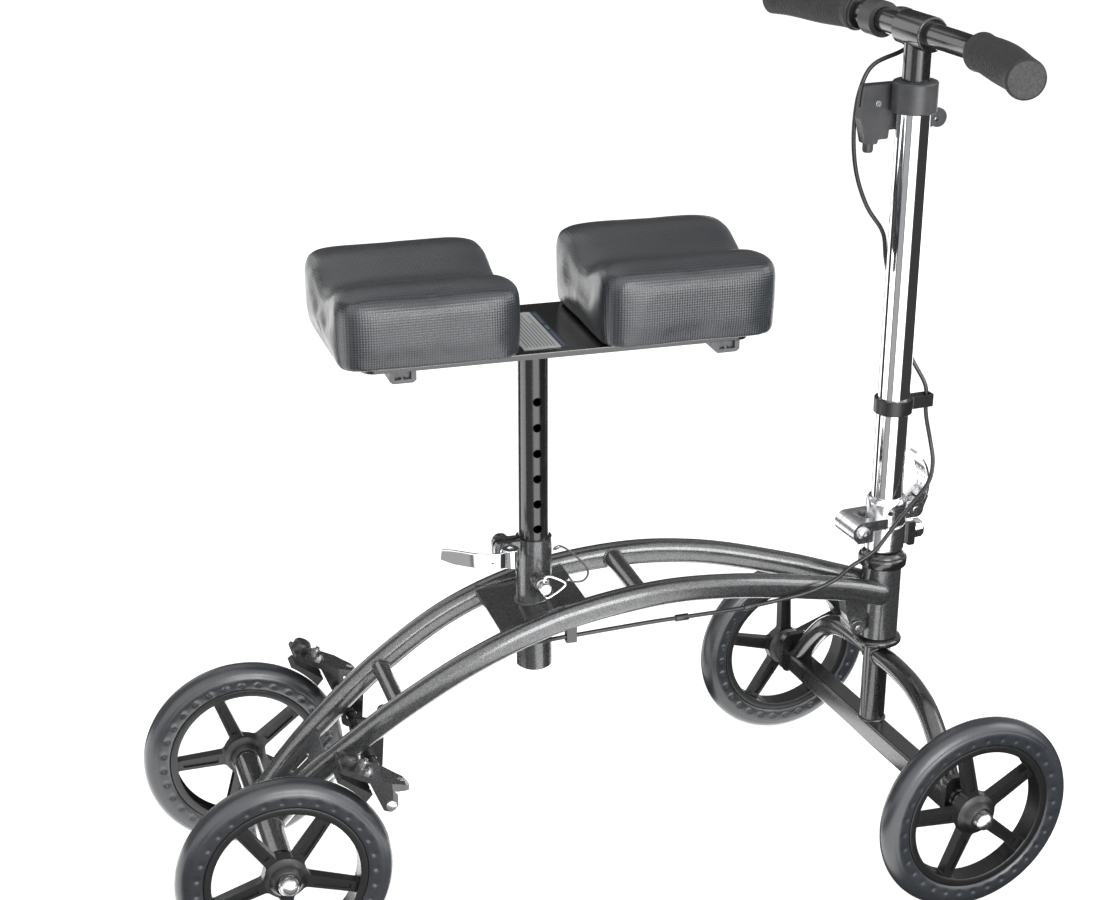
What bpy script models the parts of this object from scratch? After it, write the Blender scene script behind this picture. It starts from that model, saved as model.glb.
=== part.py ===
# Knee scooter (kneeling walker), modelled in metres, +X forward, +Z up.
# Design coordinates: rear axle at X = 0, ground at Z = 0, middle plane Y = 0.
# Everything hangs from one empty that moves the design origin to the middle
# of the footprint.  The front end is built straight and turned on its pivot.
import math
import bpy
import bmesh
from mathutils import Matrix, Vector

for _o in list(bpy.data.objects):
    bpy.data.objects.remove(_o, do_unlink=True)

MM = 0.001
# ---------------------------------------------------------------- dimensions (mm)
ORIGIN_X = -323.4          # design X of the rear axle in the part's frame
GAP = 0.3                  # clearance between touching pieces
WHEEL_R = 100.0            # 8 inch wheels
TYRE_IN_R = 75.3
RIM_OUT_R = 75.0
RIM_IN_R = 68.0
TYRE_HALF_W = 13.0
HUB_R = 16.0
HUB_HALF = 15.5
BORE_R = 6.4
SPOKES = 5
REAR_TRACK = 234.0
FRONT_TRACK = 386.0
STEER_X = 628.0            # steering axis
STEER_REST_DEG = 5.56      # front end stands slightly to the left
POST_X = 268.0             # seat post axis
POST_R = 14.3
POST_WALL = 2.0
POST_Z0, POST_Z1 = 219.0, 550.0
SLEEVE_R, SLEEVE_BORE = 17.0, 14.8
SLEEVE_Z0, SLEEVE_Z1 = 221.0, 353.0
PIN_Z = 315.0
HOLE_PITCH = 25.0
HOLE_R = 4.2
HOLES = 9
PLATE_Z0, PLATE_Z1 = 550.3, 556.0
PAD_HALF = 87.0
PAD_Z = 556.4
REAR_PAD = (74.0, 240.0)
FRONT_PAD = (308.0, 474.0)
RAIL_A, RAIL_B = 10.0, 12.0      # half width, half height of the oval rails
HEAD_R, HEAD_BORE = 19.5, 15.5
HEAD_Z0, HEAD_Z1 = 202.0, 279.0
STEERER_R = 12.7
COLUMN_R, COLUMN_IN = 15.5, 13.3
COLUMN_Z0, COLUMN_Z1 = 329.0, 748.0
FOLD_X, FOLD_Z = -35.0, 324.0    # fold hinge, from the steering axis
STEM_R = 12.7
BAR_Z = 800.0
BAR_R = 11.0
BAR_HALF = 214.0
BRAKE_X, BRAKE_Z = 97.0, 165.0   # brake shaft
BRAKE_TRAVEL = 5.5               # degrees the arms turn to press the shoes on

# rail centre line on the left side: X, half spacing, Z
RAIL_STATIONS = [(2.0, 26.0, 101.0), (36.0, 32.5, 141.0), (70.0, 39.5, 172.0), (130.0, 48.5, 219.0),
                 (200.0, 54.5, 261.0), (280.0, 53.5, 289.5), (370.0, 49.0, 301.0),
                 (450.0, 42.5, 296.0), (530.0, 30.0, 279.0), (585.0, 18.5, 264.0), (619.0, 14.5, 253.0)]

# ---------------------------------------------------------------- materials
MATS = {}
def mat(name, rgb, rough, metal=0.0):
    if name not in MATS:
        m = bpy.data.materials.new(name)
        m.use_nodes = True
        b = m.node_tree.nodes["Principled BSDF"]
        b.inputs["Base Color"].default_value = (rgb[0], rgb[1], rgb[2], 1.0)
        b.inputs["Roughness"].default_value = rough
        b.inputs["Metallic"].default_value = metal
        m.diffuse_color = (rgb[0], rgb[1], rgb[2], 1.0)
        MATS[name] = m
    return MATS[name]

VEIN = ("vein", (0.10, 0.10, 0.11), 0.45, 0.6)
BLACK = ("black_paint", (0.015, 0.015, 0.017), 0.30, 0.2)
CHROME = ("chrome", (0.80, 0.81, 0.83), 0.08, 1.0)
ZINC = ("zinc", (0.55, 0.56, 0.58), 0.30, 1.0)
PLASTIC = ("plastic", (0.02, 0.02, 0.022), 0.50, 0.0)
GREYPL = ("grey_plastic", (0.08, 0.08, 0.085), 0.50, 0.0)
TYRE = ("tyre", (0.045, 0.055, 0.065), 0.45, 0.0)
VINYL = ("vinyl", (0.045, 0.05, 0.055), 0.50, 0.0)
RUBBER = ("rubber", (0.02, 0.02, 0.02), 0.70, 0.0)
LABEL = ("label", (0.80, 0.81, 0.80), 0.40, 0.0)
CABLE = ("cable", (0.03, 0.03, 0.03), 0.45, 0.0)

# ---------------------------------------------------------------- frames
def empty(name, loc=(0, 0, 0), rot=(0, 0, 0), parent=None):
    e = bpy.data.objects.new(name, None)
    bpy.context.scene.collection.objects.link(e)
    e.location = Vector(loc) * MM
    e.rotation_euler = rot
    e.parent = parent
    return e

ROOT = empty("design_origin", (ORIGIN_X, 0, 0))
FRAME = empty("frame_group", parent=ROOT)
STEER = empty("steer_pivot", (STEER_X, 0, 0), (0, 0, math.radians(STEER_REST_DEG)), ROOT)

# ---------------------------------------------------------------- mesh helpers
def finish(bm, name, spec, parent=FRAME, origin=(0, 0, 0), sharp=35.0):
    bmesh.ops.remove_doubles(bm, verts=bm.verts, dist=1e-5)
    bmesh.ops.recalc_face_normals(bm, faces=bm.faces)
    o = Vector(origin)
    for v in bm.verts:
        v.co = (v.co - o) * MM
    me = bpy.data.meshes.new(name)
    bm.to_mesh(me)
    bm.free()
    me.materials.append(mat(*spec))
    me.shade_smooth()
    me.set_sharp_from_angle(angle=math.radians(sharp))
    ob = bpy.data.objects.new(name, me)
    bpy.context.scene.collection.objects.link(ob)
    ob.parent = parent
    ob.location = o * MM
    return ob

def guide(ob):
    ob.hide_render = True
    ob.display_type = 'WIRE'
    return ob

def boolean(ob, other, op='DIFFERENCE'):
    guide(other)
    m = ob.modifiers.new(op.lower(), 'BOOLEAN')
    m.operation = op
    m.solver = 'EXACT'
    m.object = other
    return ob

def basis(axis):
    a = Vector(axis).normalized()
    t = Vector((0, 0, 1)) if abs(a.z) < 0.9 else Vector((1, 0, 0))
    u = t.cross(a).normalized()
    return a, u, a.cross(u).normalized()

def ring(c, u, v, ru, rv, n, phase=0.0):
    return [c + u * ru * math.cos(phase + 2 * math.pi * i / n) + v * rv * math.sin(phase + 2 * math.pi * i / n)
            for i in range(n)]

def loft(bm, rings, close=False, caps=True):
    vs = [[bm.verts.new(p) for p in r] for r in rings]
    n = len(vs[0])
    last = len(vs) if close else len(vs) - 1
    for k in range(last):
        a, b = vs[k], vs[(k + 1) % len(vs)]
        for i in range(n):
            j = (i + 1) % n
            bm.faces.new((a[i], a[j], b[j], b[i]))
    if caps and not close:
        bm.faces.new(vs[0][::-1])
        bm.faces.new(vs[-1])
    return vs

ROD_PHASE = 0.071          # keeps facet edges of bars off those of turned parts

def rod(p0, p1, r, n=16, r2=None, cham=0.0):
    """Solid round bar from p0 to p1, optionally tapered or with chamfered ends."""
    bm = bmesh.new()
    p0, p1 = Vector(p0), Vector(p1)
    a, u, v = basis(p1 - p0)
    r2 = r if r2 is None else r2
    if cham:
        rs = [(p0, r - cham), (p0 + a * cham, r), (p1 - a * cham, r2), (p1, r2 - cham)]
    else:
        rs = [(p0, r), (p1, r2)]
    loft(bm, [ring(c, u, v, q, q, n, ROD_PHASE) for c, q in rs])
    return bm

def lathe(profile, centre=(0, 0, 0), axis=(0, 0, 1), n=24, phase=0.0):
    """Turn a closed profile of (radius, height) pairs round an axis.  A profile
    that touches radius 0 at both ends is capped by points on the axis."""
    bm = bmesh.new()
    a, u, v = basis(axis)
    c = Vector(centre)
    solid = profile[0][0] == 0 and profile[-1][0] == 0
    pts = profile[1:-1] if solid else profile
    rings_ = [ring(c + a * h, u, v, r, r, n, phase) for r, h in pts]
    vs = loft(bm, rings_, close=not solid, caps=False)
    if solid:
        for row, (r, h), flip in ((vs[0], profile[0], True), (vs[-1], profile[-1], False)):
            p = bm.verts.new(c + a * h)
            for i in range(n):
                j = (i + 1) % n
                bm.faces.new((row[j], row[i], p) if flip else (row[i], row[j], p))
    return bm

def box(lo, hi, bev=0.0, seg=1, tilt=None):
    bm = bmesh.new()
    lo, hi = Vector(lo), Vector(hi)
    bmesh.ops.create_cube(bm, size=1.0)
    for v in bm.verts:
        v.co = Vector(((v.co.x + 0.5) * (hi.x - lo.x) + lo.x, (v.co.y + 0.5) * (hi.y - lo.y) + lo.y,
                       (v.co.z + 0.5) * (hi.z - lo.z) + lo.z))
    if bev:
        bmesh.ops.bevel(bm, geom=list(bm.edges), offset=bev, segments=seg, affect='EDGES', profile=0.5)
    if tilt:
        ang, ax, piv = tilt
        bmesh.ops.rotate(bm, verts=bm.verts, cent=Vector(piv), matrix=Matrix.Rotation(math.radians(ang), 3, ax))
    return bm

def prism(outline, y0, y1, bev=0.0, plane='XZ'):
    """Extrude a closed outline; XZ outlines go along Y, XY along Z, YZ along X."""
    bm = bmesh.new()
    def P(a, b, h):
        return Vector((a, h, b)) if plane == 'XZ' else Vector((a, b, h)) if plane == 'XY' else Vector((h, a, b))
    lo = [bm.verts.new(P(a, b, y0)) for a, b in outline]
    hi = [bm.verts.new(P(a, b, y1)) for a, b in outline]
    n = len(outline)
    f0 = bm.faces.new(lo)
    f1 = bm.faces.new(hi[::-1])
    for i in range(n):
        j = (i + 1) % n
        bm.faces.new((lo[j], lo[i], hi[i], hi[j]))
    if bev:
        es = list(f0.edges) + list(f1.edges)
        bmesh.ops.bevel(bm, geom=es, offset=bev, segments=1, affect='EDGES')
    return bm

def rounded(cx, cz, hx, hz, r, n=4):
    """Rounded rectangle outline."""
    pts = []
    for sx, sz, a0 in ((1, 1, 0), (-1, 1, 90), (-1, -1, 180), (1, -1, 270)):
        for k in range(n + 1):
            a = math.radians(a0 + 90.0 * k / n)
            pts.append((cx + sx * (hx - r) + r * math.cos(a), cz + sz * (hz - r) + r * math.sin(a)))
    return pts

def spline(points, count, closed=False):
    """Evenly spaced points on a Catmull-Rom curve through the given points."""
    P = [Vector(p) for p in points]
    dense = []
    segs = len(P) if closed else len(P) - 1
    for k in range(segs):
        if closed:
            a, b, c, d = P[k - 1], P[k], P[(k + 1) % len(P)], P[(k + 2) % len(P)]
        else:
            b, c = P[k], P[k + 1]
            a = P[k - 1] if k > 0 else b * 2 - c
            d = P[k + 2] if k + 2 < len(P) else c * 2 - b
        for i in range(12):
            t = i / 12.0
            dense.append(0.5 * ((2 * b) + (c - a) * t + (2 * a - 5 * b + 4 * c - d) * t * t
                                + (3 * b - a - 3 * c + d) * t ** 3))
    dense.append(P[0].copy() if closed else P[-1].copy())
    L = [0.0]
    for i in range(1, len(dense)):
        L.append(L[-1] + (dense[i] - dense[i - 1]).length)
    out = []
    k = 0
    for i in range(count):
        s = L[-1] * i / (count if closed else count - 1)
        while k < len(L) - 2 and L[k + 1] < s:
            k += 1
        f = (s - L[k]) / max(L[k + 1] - L[k], 1e-9)
        out.append(dense[k].lerp(dense[k + 1], min(max(f, 0), 1)))
    return out

def sweep(path, ru, rv, n=12, side=(0, 1, 0), closed=False, phase=0.0):
    """Carry an oval along a path; 'side' keeps the section upright."""
    bm = bmesh.new()
    rings_ = []
    m = len(path)
    for i, p in enumerate(path):
        if closed:
            t = path[(i + 1) % m] - path[i - 1]
        else:
            t = path[min(i + 1, m - 1)] - path[max(i - 1, 0)]
        t.normalize()
        s = Vector(side)
        s = (s - t * s.dot(t))
        if s.length < 1e-4:
            s = t.orthogonal()
        s.normalize()
        up = t.cross(s)
        rings_.append(ring(p, s, up, ru, rv, n, phase))
    loft(bm, rings_, close=closed)
    return bm

def join(bm, other):
    """Append a second closed shape to a bmesh (used for cutters only)."""
    me = bpy.data.meshes.new("tmp")
    other.to_mesh(me)
    other.free()
    bm.from_mesh(me)
    bpy.data.meshes.remove(me)
    return bm

def tube_bm(p0, p1, ro, ri, n=24):
    p0, p1 = Vector(p0), Vector(p1)
    h = (p1 - p0).length
    return lathe([(ri, 0), (ro, 0), (ro, h), (ri, h)], p0, p1 - p0, n)

# ---------------------------------------------------------------- wheels
def tyre_profile():
    w, r = TYRE_HALF_W, WHEEL_R
    return [(TYRE_IN_R, -w + 2.5), (r - 16, -w), (r - 7, -w + 1.6), (r - 2.0, -w + 6.0),
            (r, 0.0),
            (r - 2.0, w - 6.0), (r - 7, w - 1.6), (r - 16, w), (TYRE_IN_R, w - 2.5)]

def wheel(tag, centre, parent, spoke0, flip):
    c = Vector(centre)
    finish(lathe(tyre_profile(), c, (0, 1, 0), 32), "tyre_" + tag, TYRE, parent, c)
    # rim: band, hub and five tapered spokes joined into one moulding
    rim = finish(lathe([(RIM_IN_R, -9), (RIM_OUT_R - 1.5, -11), (RIM_OUT_R, -10), (RIM_OUT_R, 10),
                        (RIM_OUT_R - 1.5, 11), (RIM_IN_R, 9)], c, (0, 1, 0), 32), "rim_" + tag, PLASTIC, parent, c)
    hub = finish(lathe([(0, -HUB_HALF), (HUB_R - 4, -HUB_HALF), (HUB_R, -HUB_HALF + 5), (HUB_R, HUB_HALF - 5),
                        (HUB_R - 4, HUB_HALF), (0, HUB_HALF)], c, (0, 1, 0), 20), "hub_" + tag, PLASTIC, parent, c)
    boolean(rim, hub, 'UNION')
    for k in range(SPOKES):
        a = math.radians(spoke0 + 360.0 / SPOKES * k)
        d = Vector((math.cos(a), 0, math.sin(a)))
        s = Vector((-math.sin(a), 0, math.cos(a)))
        bm = bmesh.new()
        rings_ = []
        for r, hw, hy in ((7.0, 7.6, 8.5), (30.0, 5.6, 6.5), (60.0, 5.0, 5.5), (71.5, 6.4, 5.5)):
            p = c + d * r
            rings_.append([p + s * hw + Vector((0, -hy + 2, 0)), p + s * (hw - 2) + Vector((0, -hy, 0)),
                           p - s * (hw - 2) + Vector((0, -hy, 0)), p - s * hw + Vector((0, -hy + 2, 0)),
                           p - s * hw + Vector((0, hy - 2, 0)), p - s * (hw - 2) + Vector((0, hy, 0)),
                           p + s * (hw - 2) + Vector((0, hy, 0)), p + s * hw + Vector((0, hy - 2, 0))])
        loft(bm, rings_)
        boolean(rim, finish(bm, "spoke_%s_%d" % (tag, k), PLASTIC, parent, c), 'UNION')
    bore = finish(rod(c + Vector((0, -40, 0)), c + Vector((0, 40, 0)), BORE_R, 16), "bore_" + tag, PLASTIC, parent, c)
    boolean(rim, bore)

# ================================================================ FRAME
def rail_path(side, extra=0):
    return spline([(x, side * y, z) for x, y, z in RAIL_STATIONS], 25)

RAIL_CUT = {}
for tag, side in (("left", 1), ("right", -1)):
    rail = finish(sweep(rail_path(side), RAIL_A, RAIL_B, 12), "frame_rail_" + tag, VEIN)
    boolean(rail, finish(rod((0, -70, 100), (0, 70, 100), 13.0 + GAP, 24), "axle_clear_" + tag, VEIN))
    boolean(rail, finish(rod((STEER_X, 0, 150), (STEER_X, 0, 330), HEAD_R + GAP, 32), "head_clear_" + tag, VEIN))
    RAIL_CUT[side] = guide(finish(sweep(rail_path(side), RAIL_A + GAP, RAIL_B + GAP, 12), "rail_clear_" + tag, VEIN))

def trim_rails(ob):
    boolean(ob, RAIL_CUT[1])
    boolean(ob, RAIL_CUT[-1])
    return ob

trim_rails(finish(rod((360, -46, 300), (360, 46, 300), 9.0, 16), "cross_tube_front", VEIN))
trim_rails(finish(rod((126, -45, 216), (126, 45, 216), 8.0, 16), "cross_tube_rear", VEIN))

# seat gusset: sloping plate between the rails with the post sleeve through it
gus = finish(box((222, -52, 285.5), (314, 52, 290.5), 0.0, tilt=(-11.0, 'Y', (POST_X, 0, 288))), "seat_gusset", VEIN)
trim_rails(gus)
boolean(gus, finish(rod((POST_X, 0, 240), (POST_X, 0, 340), SLEEVE_R + GAP + 0.1, 32), "gusset_hole", VEIN))

# post sleeve: slit clamp tube with two ears behind
sleeve = finish(tube_bm((POST_X, 0, SLEEVE_Z0), (POST_X, 0, SLEEVE_Z1), SLEEVE_R, SLEEVE_BORE, 24), "post_sleeve", VEIN)
EAR_X, EAR_Z = 240.0, 343.0
for s in (1, -1):
    ear = finish(prism(rounded(EAR_X + 2.5, EAR_Z, 10.5, 9.0, 5.0, 3), 2.0 if s > 0 else -8.0, 8.0 if s > 0 else -2.0),
                 "ear_%d" % (s + 1), VEIN)
    boolean(sleeve, ear, 'UNION')
boolean(sleeve, finish(box((220, -1.6, 318), (POST_X - 5, 1.6, 360)), "sleeve_slit", VEIN))
boolean(sleeve, finish(rod((EAR_X, -20, EAR_Z), (EAR_X, 20, EAR_Z), 3.4, 12), "ear_hole", VEIN))
# pull pin boss on the near side
boolean(sleeve, finish(lathe([(0, 0), (8.0, 0), (8.0, 10.9), (7.0, 11.9), (0, 11.9)], (POST_X, -15.6, PIN_Z), (0, -1, 0), 16), "pin_boss", VEIN), 'UNION')
boolean(sleeve, finish(rod((POST_X, -32, PIN_Z), (POST_X, -5, PIN_Z), 4.4, 14), "sleeve_pin_hole", VEIN))

# clamp bolt with domed nut on the far side
bolt = finish(rod((EAR_X, -12.0, EAR_Z), (EAR_X, 12.0, EAR_Z), 3.0, 12), "seat_clamp_bolt", CHROME)
dome = finish(lathe([(0, 0), (8.0, 0), (8.0, 5.5), (7.0, 9.0), (4.2, 11.6), (0, 12.4)], (EAR_X, 8.4, EAR_Z), (0, 1, 0), 16),
              "seat_clamp_dome", CHROME)
boolean(bolt, dome, 'UNION')
boolean(bolt, finish(lathe([(0, 0), (7.0, 0), (7.0, 2.6), (0, 2.6)], (EAR_X, -11.0, EAR_Z), (0, 1, 0), 14), "bolt_washer", CHROME), 'UNION')

# pull pin boss on the near side of the sleeve

# head tube and bearing cups
finish(tube_bm((STEER_X, 0, HEAD_Z0), (STEER_X, 0, HEAD_Z1), HEAD_R, HEAD_BORE, 28), "head_tube", VEIN)
finish(lathe([(13.4, 0), (22.0, 0), (24.0, 2.5), (24.0, 9.0), (21.0, 13.5), (17.0, 16.4), (13.4, 16.4)],
             (STEER_X, 0, HEAD_Z1 + GAP), (0, 0, 1), 28), "headset_cup_upper", BLACK)
finish(lathe([(13.4, 0), (21.0, 0), (24.0, 2.4), (24.0, 6.5), (21.5, 8.4), (13.4, 8.4)],
             (STEER_X, 0, HEAD_Z0 - GAP - 8.4), (0, 0, 1), 28), "headset_cup_lower", BLACK)

# rear gusset between the rails, in their slope, with a slot
rg = finish(prism([(20, -27), (88, -36), (88, 36), (20, 27)], -2.0, 2.0, plane='XY'), "rear_gusset", VEIN)
rg.rotation_euler = (0, math.radians(-44.0), 0)
rg.location = Vector((-4.0, 0, 104.0)) * MM
trim_rails(rg)
slot = finish(prism(rounded(58, 0, 13, 4.0, 3.9, 4), -6, 6, plane='XY'), "gusset_slot", VEIN)
slot.rotation_euler = rg.rotation_euler
slot.location = rg.location
boolean(rg, slot)

# rear axle: housing tube and through axle with domed nuts
finish(tube_bm((0, -94, 100), (0, 94, 100), 13.0, 6.6, 24), "rear_axle_tube", VEIN)
ax = finish(rod((0, -137, 100), (0, 137, 100), 6.0, 16), "rear_axle", ZINC)
for s in (1, -1):
    nut = finish(lathe([(0, 0), (9.0, 0), (9.0, 5.0), (7.4, 8.6), (4.0, 11.0), (0, 11.8)], (0, s * 133.2, 100), (0, s, 0), 12),
                 "axle_nut_%d" % (s + 1), ZINC)
    boolean(ax, nut, 'UNION')
    sp = finish(lathe([(0, 0), (9.5, 0), (9.5, 6.2), (0, 6.2)], (0, s * 94.5, 100), (0, s, 0), 14), "axle_spacer_%d" % (s + 1), ZINC)
    boolean(ax, sp, 'UNION')

# brake shaft hangers under the rails
for tag, s in (("left", 1), ("right", -1)):
    hg = finish(prism([(87, 157), (92, 153.5), (102, 153.5), (107, 158), (109, 196), (87, 187)],
                      s * 46 - 2.0, s * 46 + 2.0), "brake_hanger_" + tag, BLACK)
    boolean(hg, RAIL_CUT[s])
    boolean(hg, finish(rod((BRAKE_X, s * 46 - 6, BRAKE_Z), (BRAKE_X, s * 46 + 6, BRAKE_Z), 5.5, 14), "hanger_hole_" + tag, BLACK))

# cable stop under the right rail
cs = finish(box((284, -56, 264), (294, -48, 283), 1.0), "cable_stop", BLACK)
boolean(cs, RAIL_CUT[-1])
boolean(cs, finish(rod((270, -52, 269.0), (308, -52, 270.8), 3.3, 10), "stop_hole", BLACK))

# ================================================================ SEAT
post = finish(tube_bm((POST_X, 0, POST_Z0), (POST_X, 0, POST_Z1), POST_R, POST_R - POST_WALL, 24), "seat_post", BLACK)
for k in range(HOLES):
    z = PIN_Z - HOLE_PITCH + HOLE_PITCH * k
    boolean(post, finish(rod((POST_X, -25, z), (POST_X, -6, z), HOLE_R, 12), "post_hole_%d" % k, BLACK))

plate = finish(prism(rounded(274, 0, 176, 70, 12, 3), PLATE_Z0, PLATE_Z1, plane='XY'), "seat_plate", BLACK)
finish(prism(rounded(263.0, -8, 20.0, 52, 2, 2), PLATE_Z1 + 0.3, PLATE_Z1 + 0.7, plane='XY'), "seat_label", LABEL)

def bolster(y, h_mid, h_top):
    """Height of the pad's top across its width: two bolsters and a valley."""
    t = abs(y) / PAD_HALF
    k = 0.5 - 0.5 * math.cos(math.pi * min(t / 0.62, 1.0))
    return h_mid + (h_top - h_mid) * k

def pad(name, x0, x1):
    cx, hx = (x0 + x1) / 2.0, (x1 - x0) / 2.0
    hy = PAD_HALF
    n = 6
    def outline(dx, r):
        pts = []
        ax_, ay = hx - dx, hy - dx
        r = max(min(r, ax_ - 0.5, ay - 0.5), 0.5)
        for sx, sy, a0 in ((1, 1, 0), (-1, 1, 90), (-1, -1, 180), (1, -1, 270)):
            for k in range(n + 1):
                a = math.radians(a0 + 90.0 * k / n)
                pts.append((cx + sx * (ax_ - r) + r * math.cos(a), sy * (ay - r) + r * math.sin(a)))
            if sx == sy:
                continue
            # points across the end, so that it takes the shape of the two bolsters
            for k in range(1, 8):
                pts.append((cx + sx * ax_, sy * (ay - r) * (1.0 - 2.0 * k / 8.0)))
        return pts
    levels = [(3.0, 19.0, 0.0), (0.5, 21.0, 4.0), (0.0, 22.0, 0.45), (0.0, 22.0, 0.76), (1.6, 20.5, 0.85),
              (4.5, 19.0, 0.905), (9.0, 18.0, 0.935), (20.0, 16.0, 0.965), (36.0, 12.0, 0.985), (56.0, 8.0, 1.0), (hx - 2.0, 1.0, 1.0)]
    bm = bmesh.new()
    rings_ = []
    for dx, r, lv in levels:
        row = []
        for x, y in outline(dx, r):
            z = PAD_Z + (lv if lv > 1.5 else lv * bolster(y, 58.0, 68.0))
            row.append(Vector((x, y, z)))
        rings_.append(row)
    loft(bm, rings_)
    return finish(bm, name, VINYL, sharp=60.0)

pad("rear_pad", *REAR_PAD)
pad("front_pad", *FRONT_PAD)
for tag, x in (("rear", 138.0), ("front", 437.0)):
    finish(prism([(x - 12, 534), (x - 12, 549.9), (x + 12, 549.9), (x + 12, 534), (x + 9, 531.5), (x - 9, 531.5)], -46, 18),
           "pad_bracket_" + tag, GREYPL)

# ================================================================ CLAMP LEVER AND PULL PIN
def blade(path, half_h, thick, name, spec, parent=FRAME, origin=(0, 0, 0), up=(0, 0, 1)):
    """Flat strip following a path, kept upright."""
    bm = bmesh.new()
    rings_ = []
    U = Vector(up)
    for i, p in enumerate(path):
        t = (path[min(i + 1, len(path) - 1)] - path[max(i - 1, 0)]).normalized()
        s = t.cross(U).normalized()
        w = U - t * U.dot(t)
        w.normalize()
        hh = half_h[i] if isinstance(half_h, list) else half_h
        rings_.append([p + s * thick + w * hh, p - s * thick + w * hh, p - s * thick - w * hh, p + s * thick - w * hh])
    loft(bm, rings_)
    return finish(bm, name, spec, parent, origin)

LEVER_PIV = (EAR_X, -21.0, EAR_Z)
cam = finish(rod((EAR_X, -20.5, EAR_Z - 9), (EAR_X, -20.5, EAR_Z + 9), 8.5, 18, cham=1.0), "seat_clamp_lever", CHROME, FRAME, LEVER_PIV)
path = spline([(EAR_X, -22, EAR_Z), (226, -27, EAR_Z + 0.5), (208, -27, EAR_Z + 3), (191, -22, EAR_Z + 6), (176, -14, EAR_Z + 8)], 9)
bl = blade(path, [8, 8, 7.5, 7, 7, 7, 7, 6.5, 5], 1.6, "seat_lever_blade", CHROME, FRAME, LEVER_PIV)
boolean(cam, bl, 'UNION')
boolean(cam, finish(rod((221, -40, EAR_Z + 1), (221, -10, EAR_Z + 1), 2.4, 10), "lever_eye", CHROME))

pin = finish(rod((POST_X, -14.8, PIN_Z), (POST_X, -33, PIN_Z), 3.7, 14), "pull_pin", ZINC, FRAME, (POST_X, -14.8, PIN_Z))
boolean(pin, finish(rod((POST_X, -28.2, PIN_Z), (POST_X, -42, PIN_Z), 6.0, 16, cham=1.2), "pin_head", ZINC), 'UNION')
boolean(pin, finish(rod((POST_X, -37, PIN_Z - 12), (POST_X, -37, PIN_Z + 12), 1.9, 10), "pin_eye", ZINC))
tri = spline([(POST_X, -37, PIN_Z - 9), (POST_X, -37, PIN_Z), (POST_X, -37, PIN_Z + 9), (POST_X + 5, -37, PIN_Z + 11),
              (POST_X + 18, -37, PIN_Z + 4), (POST_X + 19, -37, PIN_Z - 1), (POST_X + 5, -37, PIN_Z - 10)], 20, closed=True)
finish(sweep(tri, 1.2, 1.2, 6, closed=True), "pin_bail", CHROME, FRAME, (POST_X, -37, PIN_Z))
lany = spline([(285.5, -6, 339), (292, -10, 343), (304, -18, 335), (313, -27, 323), (306, -35, 317), (292, -35.5, 318.2), (289.5, -37, 322)], 22)
finish(sweep(lany, 0.9, 0.9, 6, side=(0, 0, 1)), "pin_lanyard", CABLE)

# ================================================================ FRONT END (steers); X is measured from the steering axis
steerer = finish(rod((0, 0, 106.3), (0, 0, 318), STEERER_R, 24), "fork_steerer", BLACK, STEER)
xbar = finish(box((-11, -164, 84), (11, 164, 106), 2.5), "fork_crossbar", BLACK, STEER)
for tag, s in (("left", 1), ("right", -1)):
    p = spline([(0, s * 6, 181), (0, s * 40, 181), (0, s * 74, 176), (0, s * 102, 163), (0, s * 128, 138), (0, s * 148, 112), (0, s * 158, 100)], 18)
    arm = finish(sweep(p, 10.5, 10.5, 14, side=(1, 0, 0)), "fork_arm_" + tag, BLACK, STEER)
    boolean(arm, finish(rod((0, 0, 120), (0, 0, 240), STEERER_R + GAP, 28), "arm_clear_s_" + tag, BLACK, STEER))
    boolean(arm, finish(box((-11 - GAP, -172, 80), (11 + GAP, 172, 106 + GAP)), "arm_clear_b_" + tag, BLACK, STEER))
    boolean(arm, finish(box((-20, min(s * 162.6, s * 182), 78), (20, max(s * 162.6, s * 182), 130)), "arm_clear_p_" + tag, BLACK, STEER))
    # wheel bracket: upright plate outside the crossbar end
    y0, y1 = (163.0, 170.4) if s > 0 else (-170.4, -163.0)
    boolean(xbar, finish(prism(rounded(0, 104, 17, 22, 9, 4), y0, y1), "wheel_bracket_" + tag, BLACK, STEER), 'UNION')
    boolean(xbar, finish(rod((0, s * 150, 100), (0, s * 176, 100), 6.3, 16), "bracket_hole_" + tag, BLACK, STEER))
    # axle bolt
    bolt = finish(rod((0, s * 151.0, 100), (0, s * 212, 100), 5.9, 16), "front_axle_" + tag, ZINC, STEER)
    boolean(bolt, finish(lathe([(0, 0), (9.5, 0), (9.5, 6.2), (0, 6.2)], (0, s * 170.8, 100), (0, s, 0), 14), "front_spacer_" + tag, ZINC, STEER), 'UNION')
    boolean(bolt, finish(lathe([(0, 0), (9.0, 0), (9.0, 4.0), (7.4, 7.0), (4.0, 9.2), (0, 10.0)], (0, s * 209.2, 100), (0, s, 0), 12),
                         "front_nut_" + tag, ZINC, STEER), 'UNION')

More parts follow.
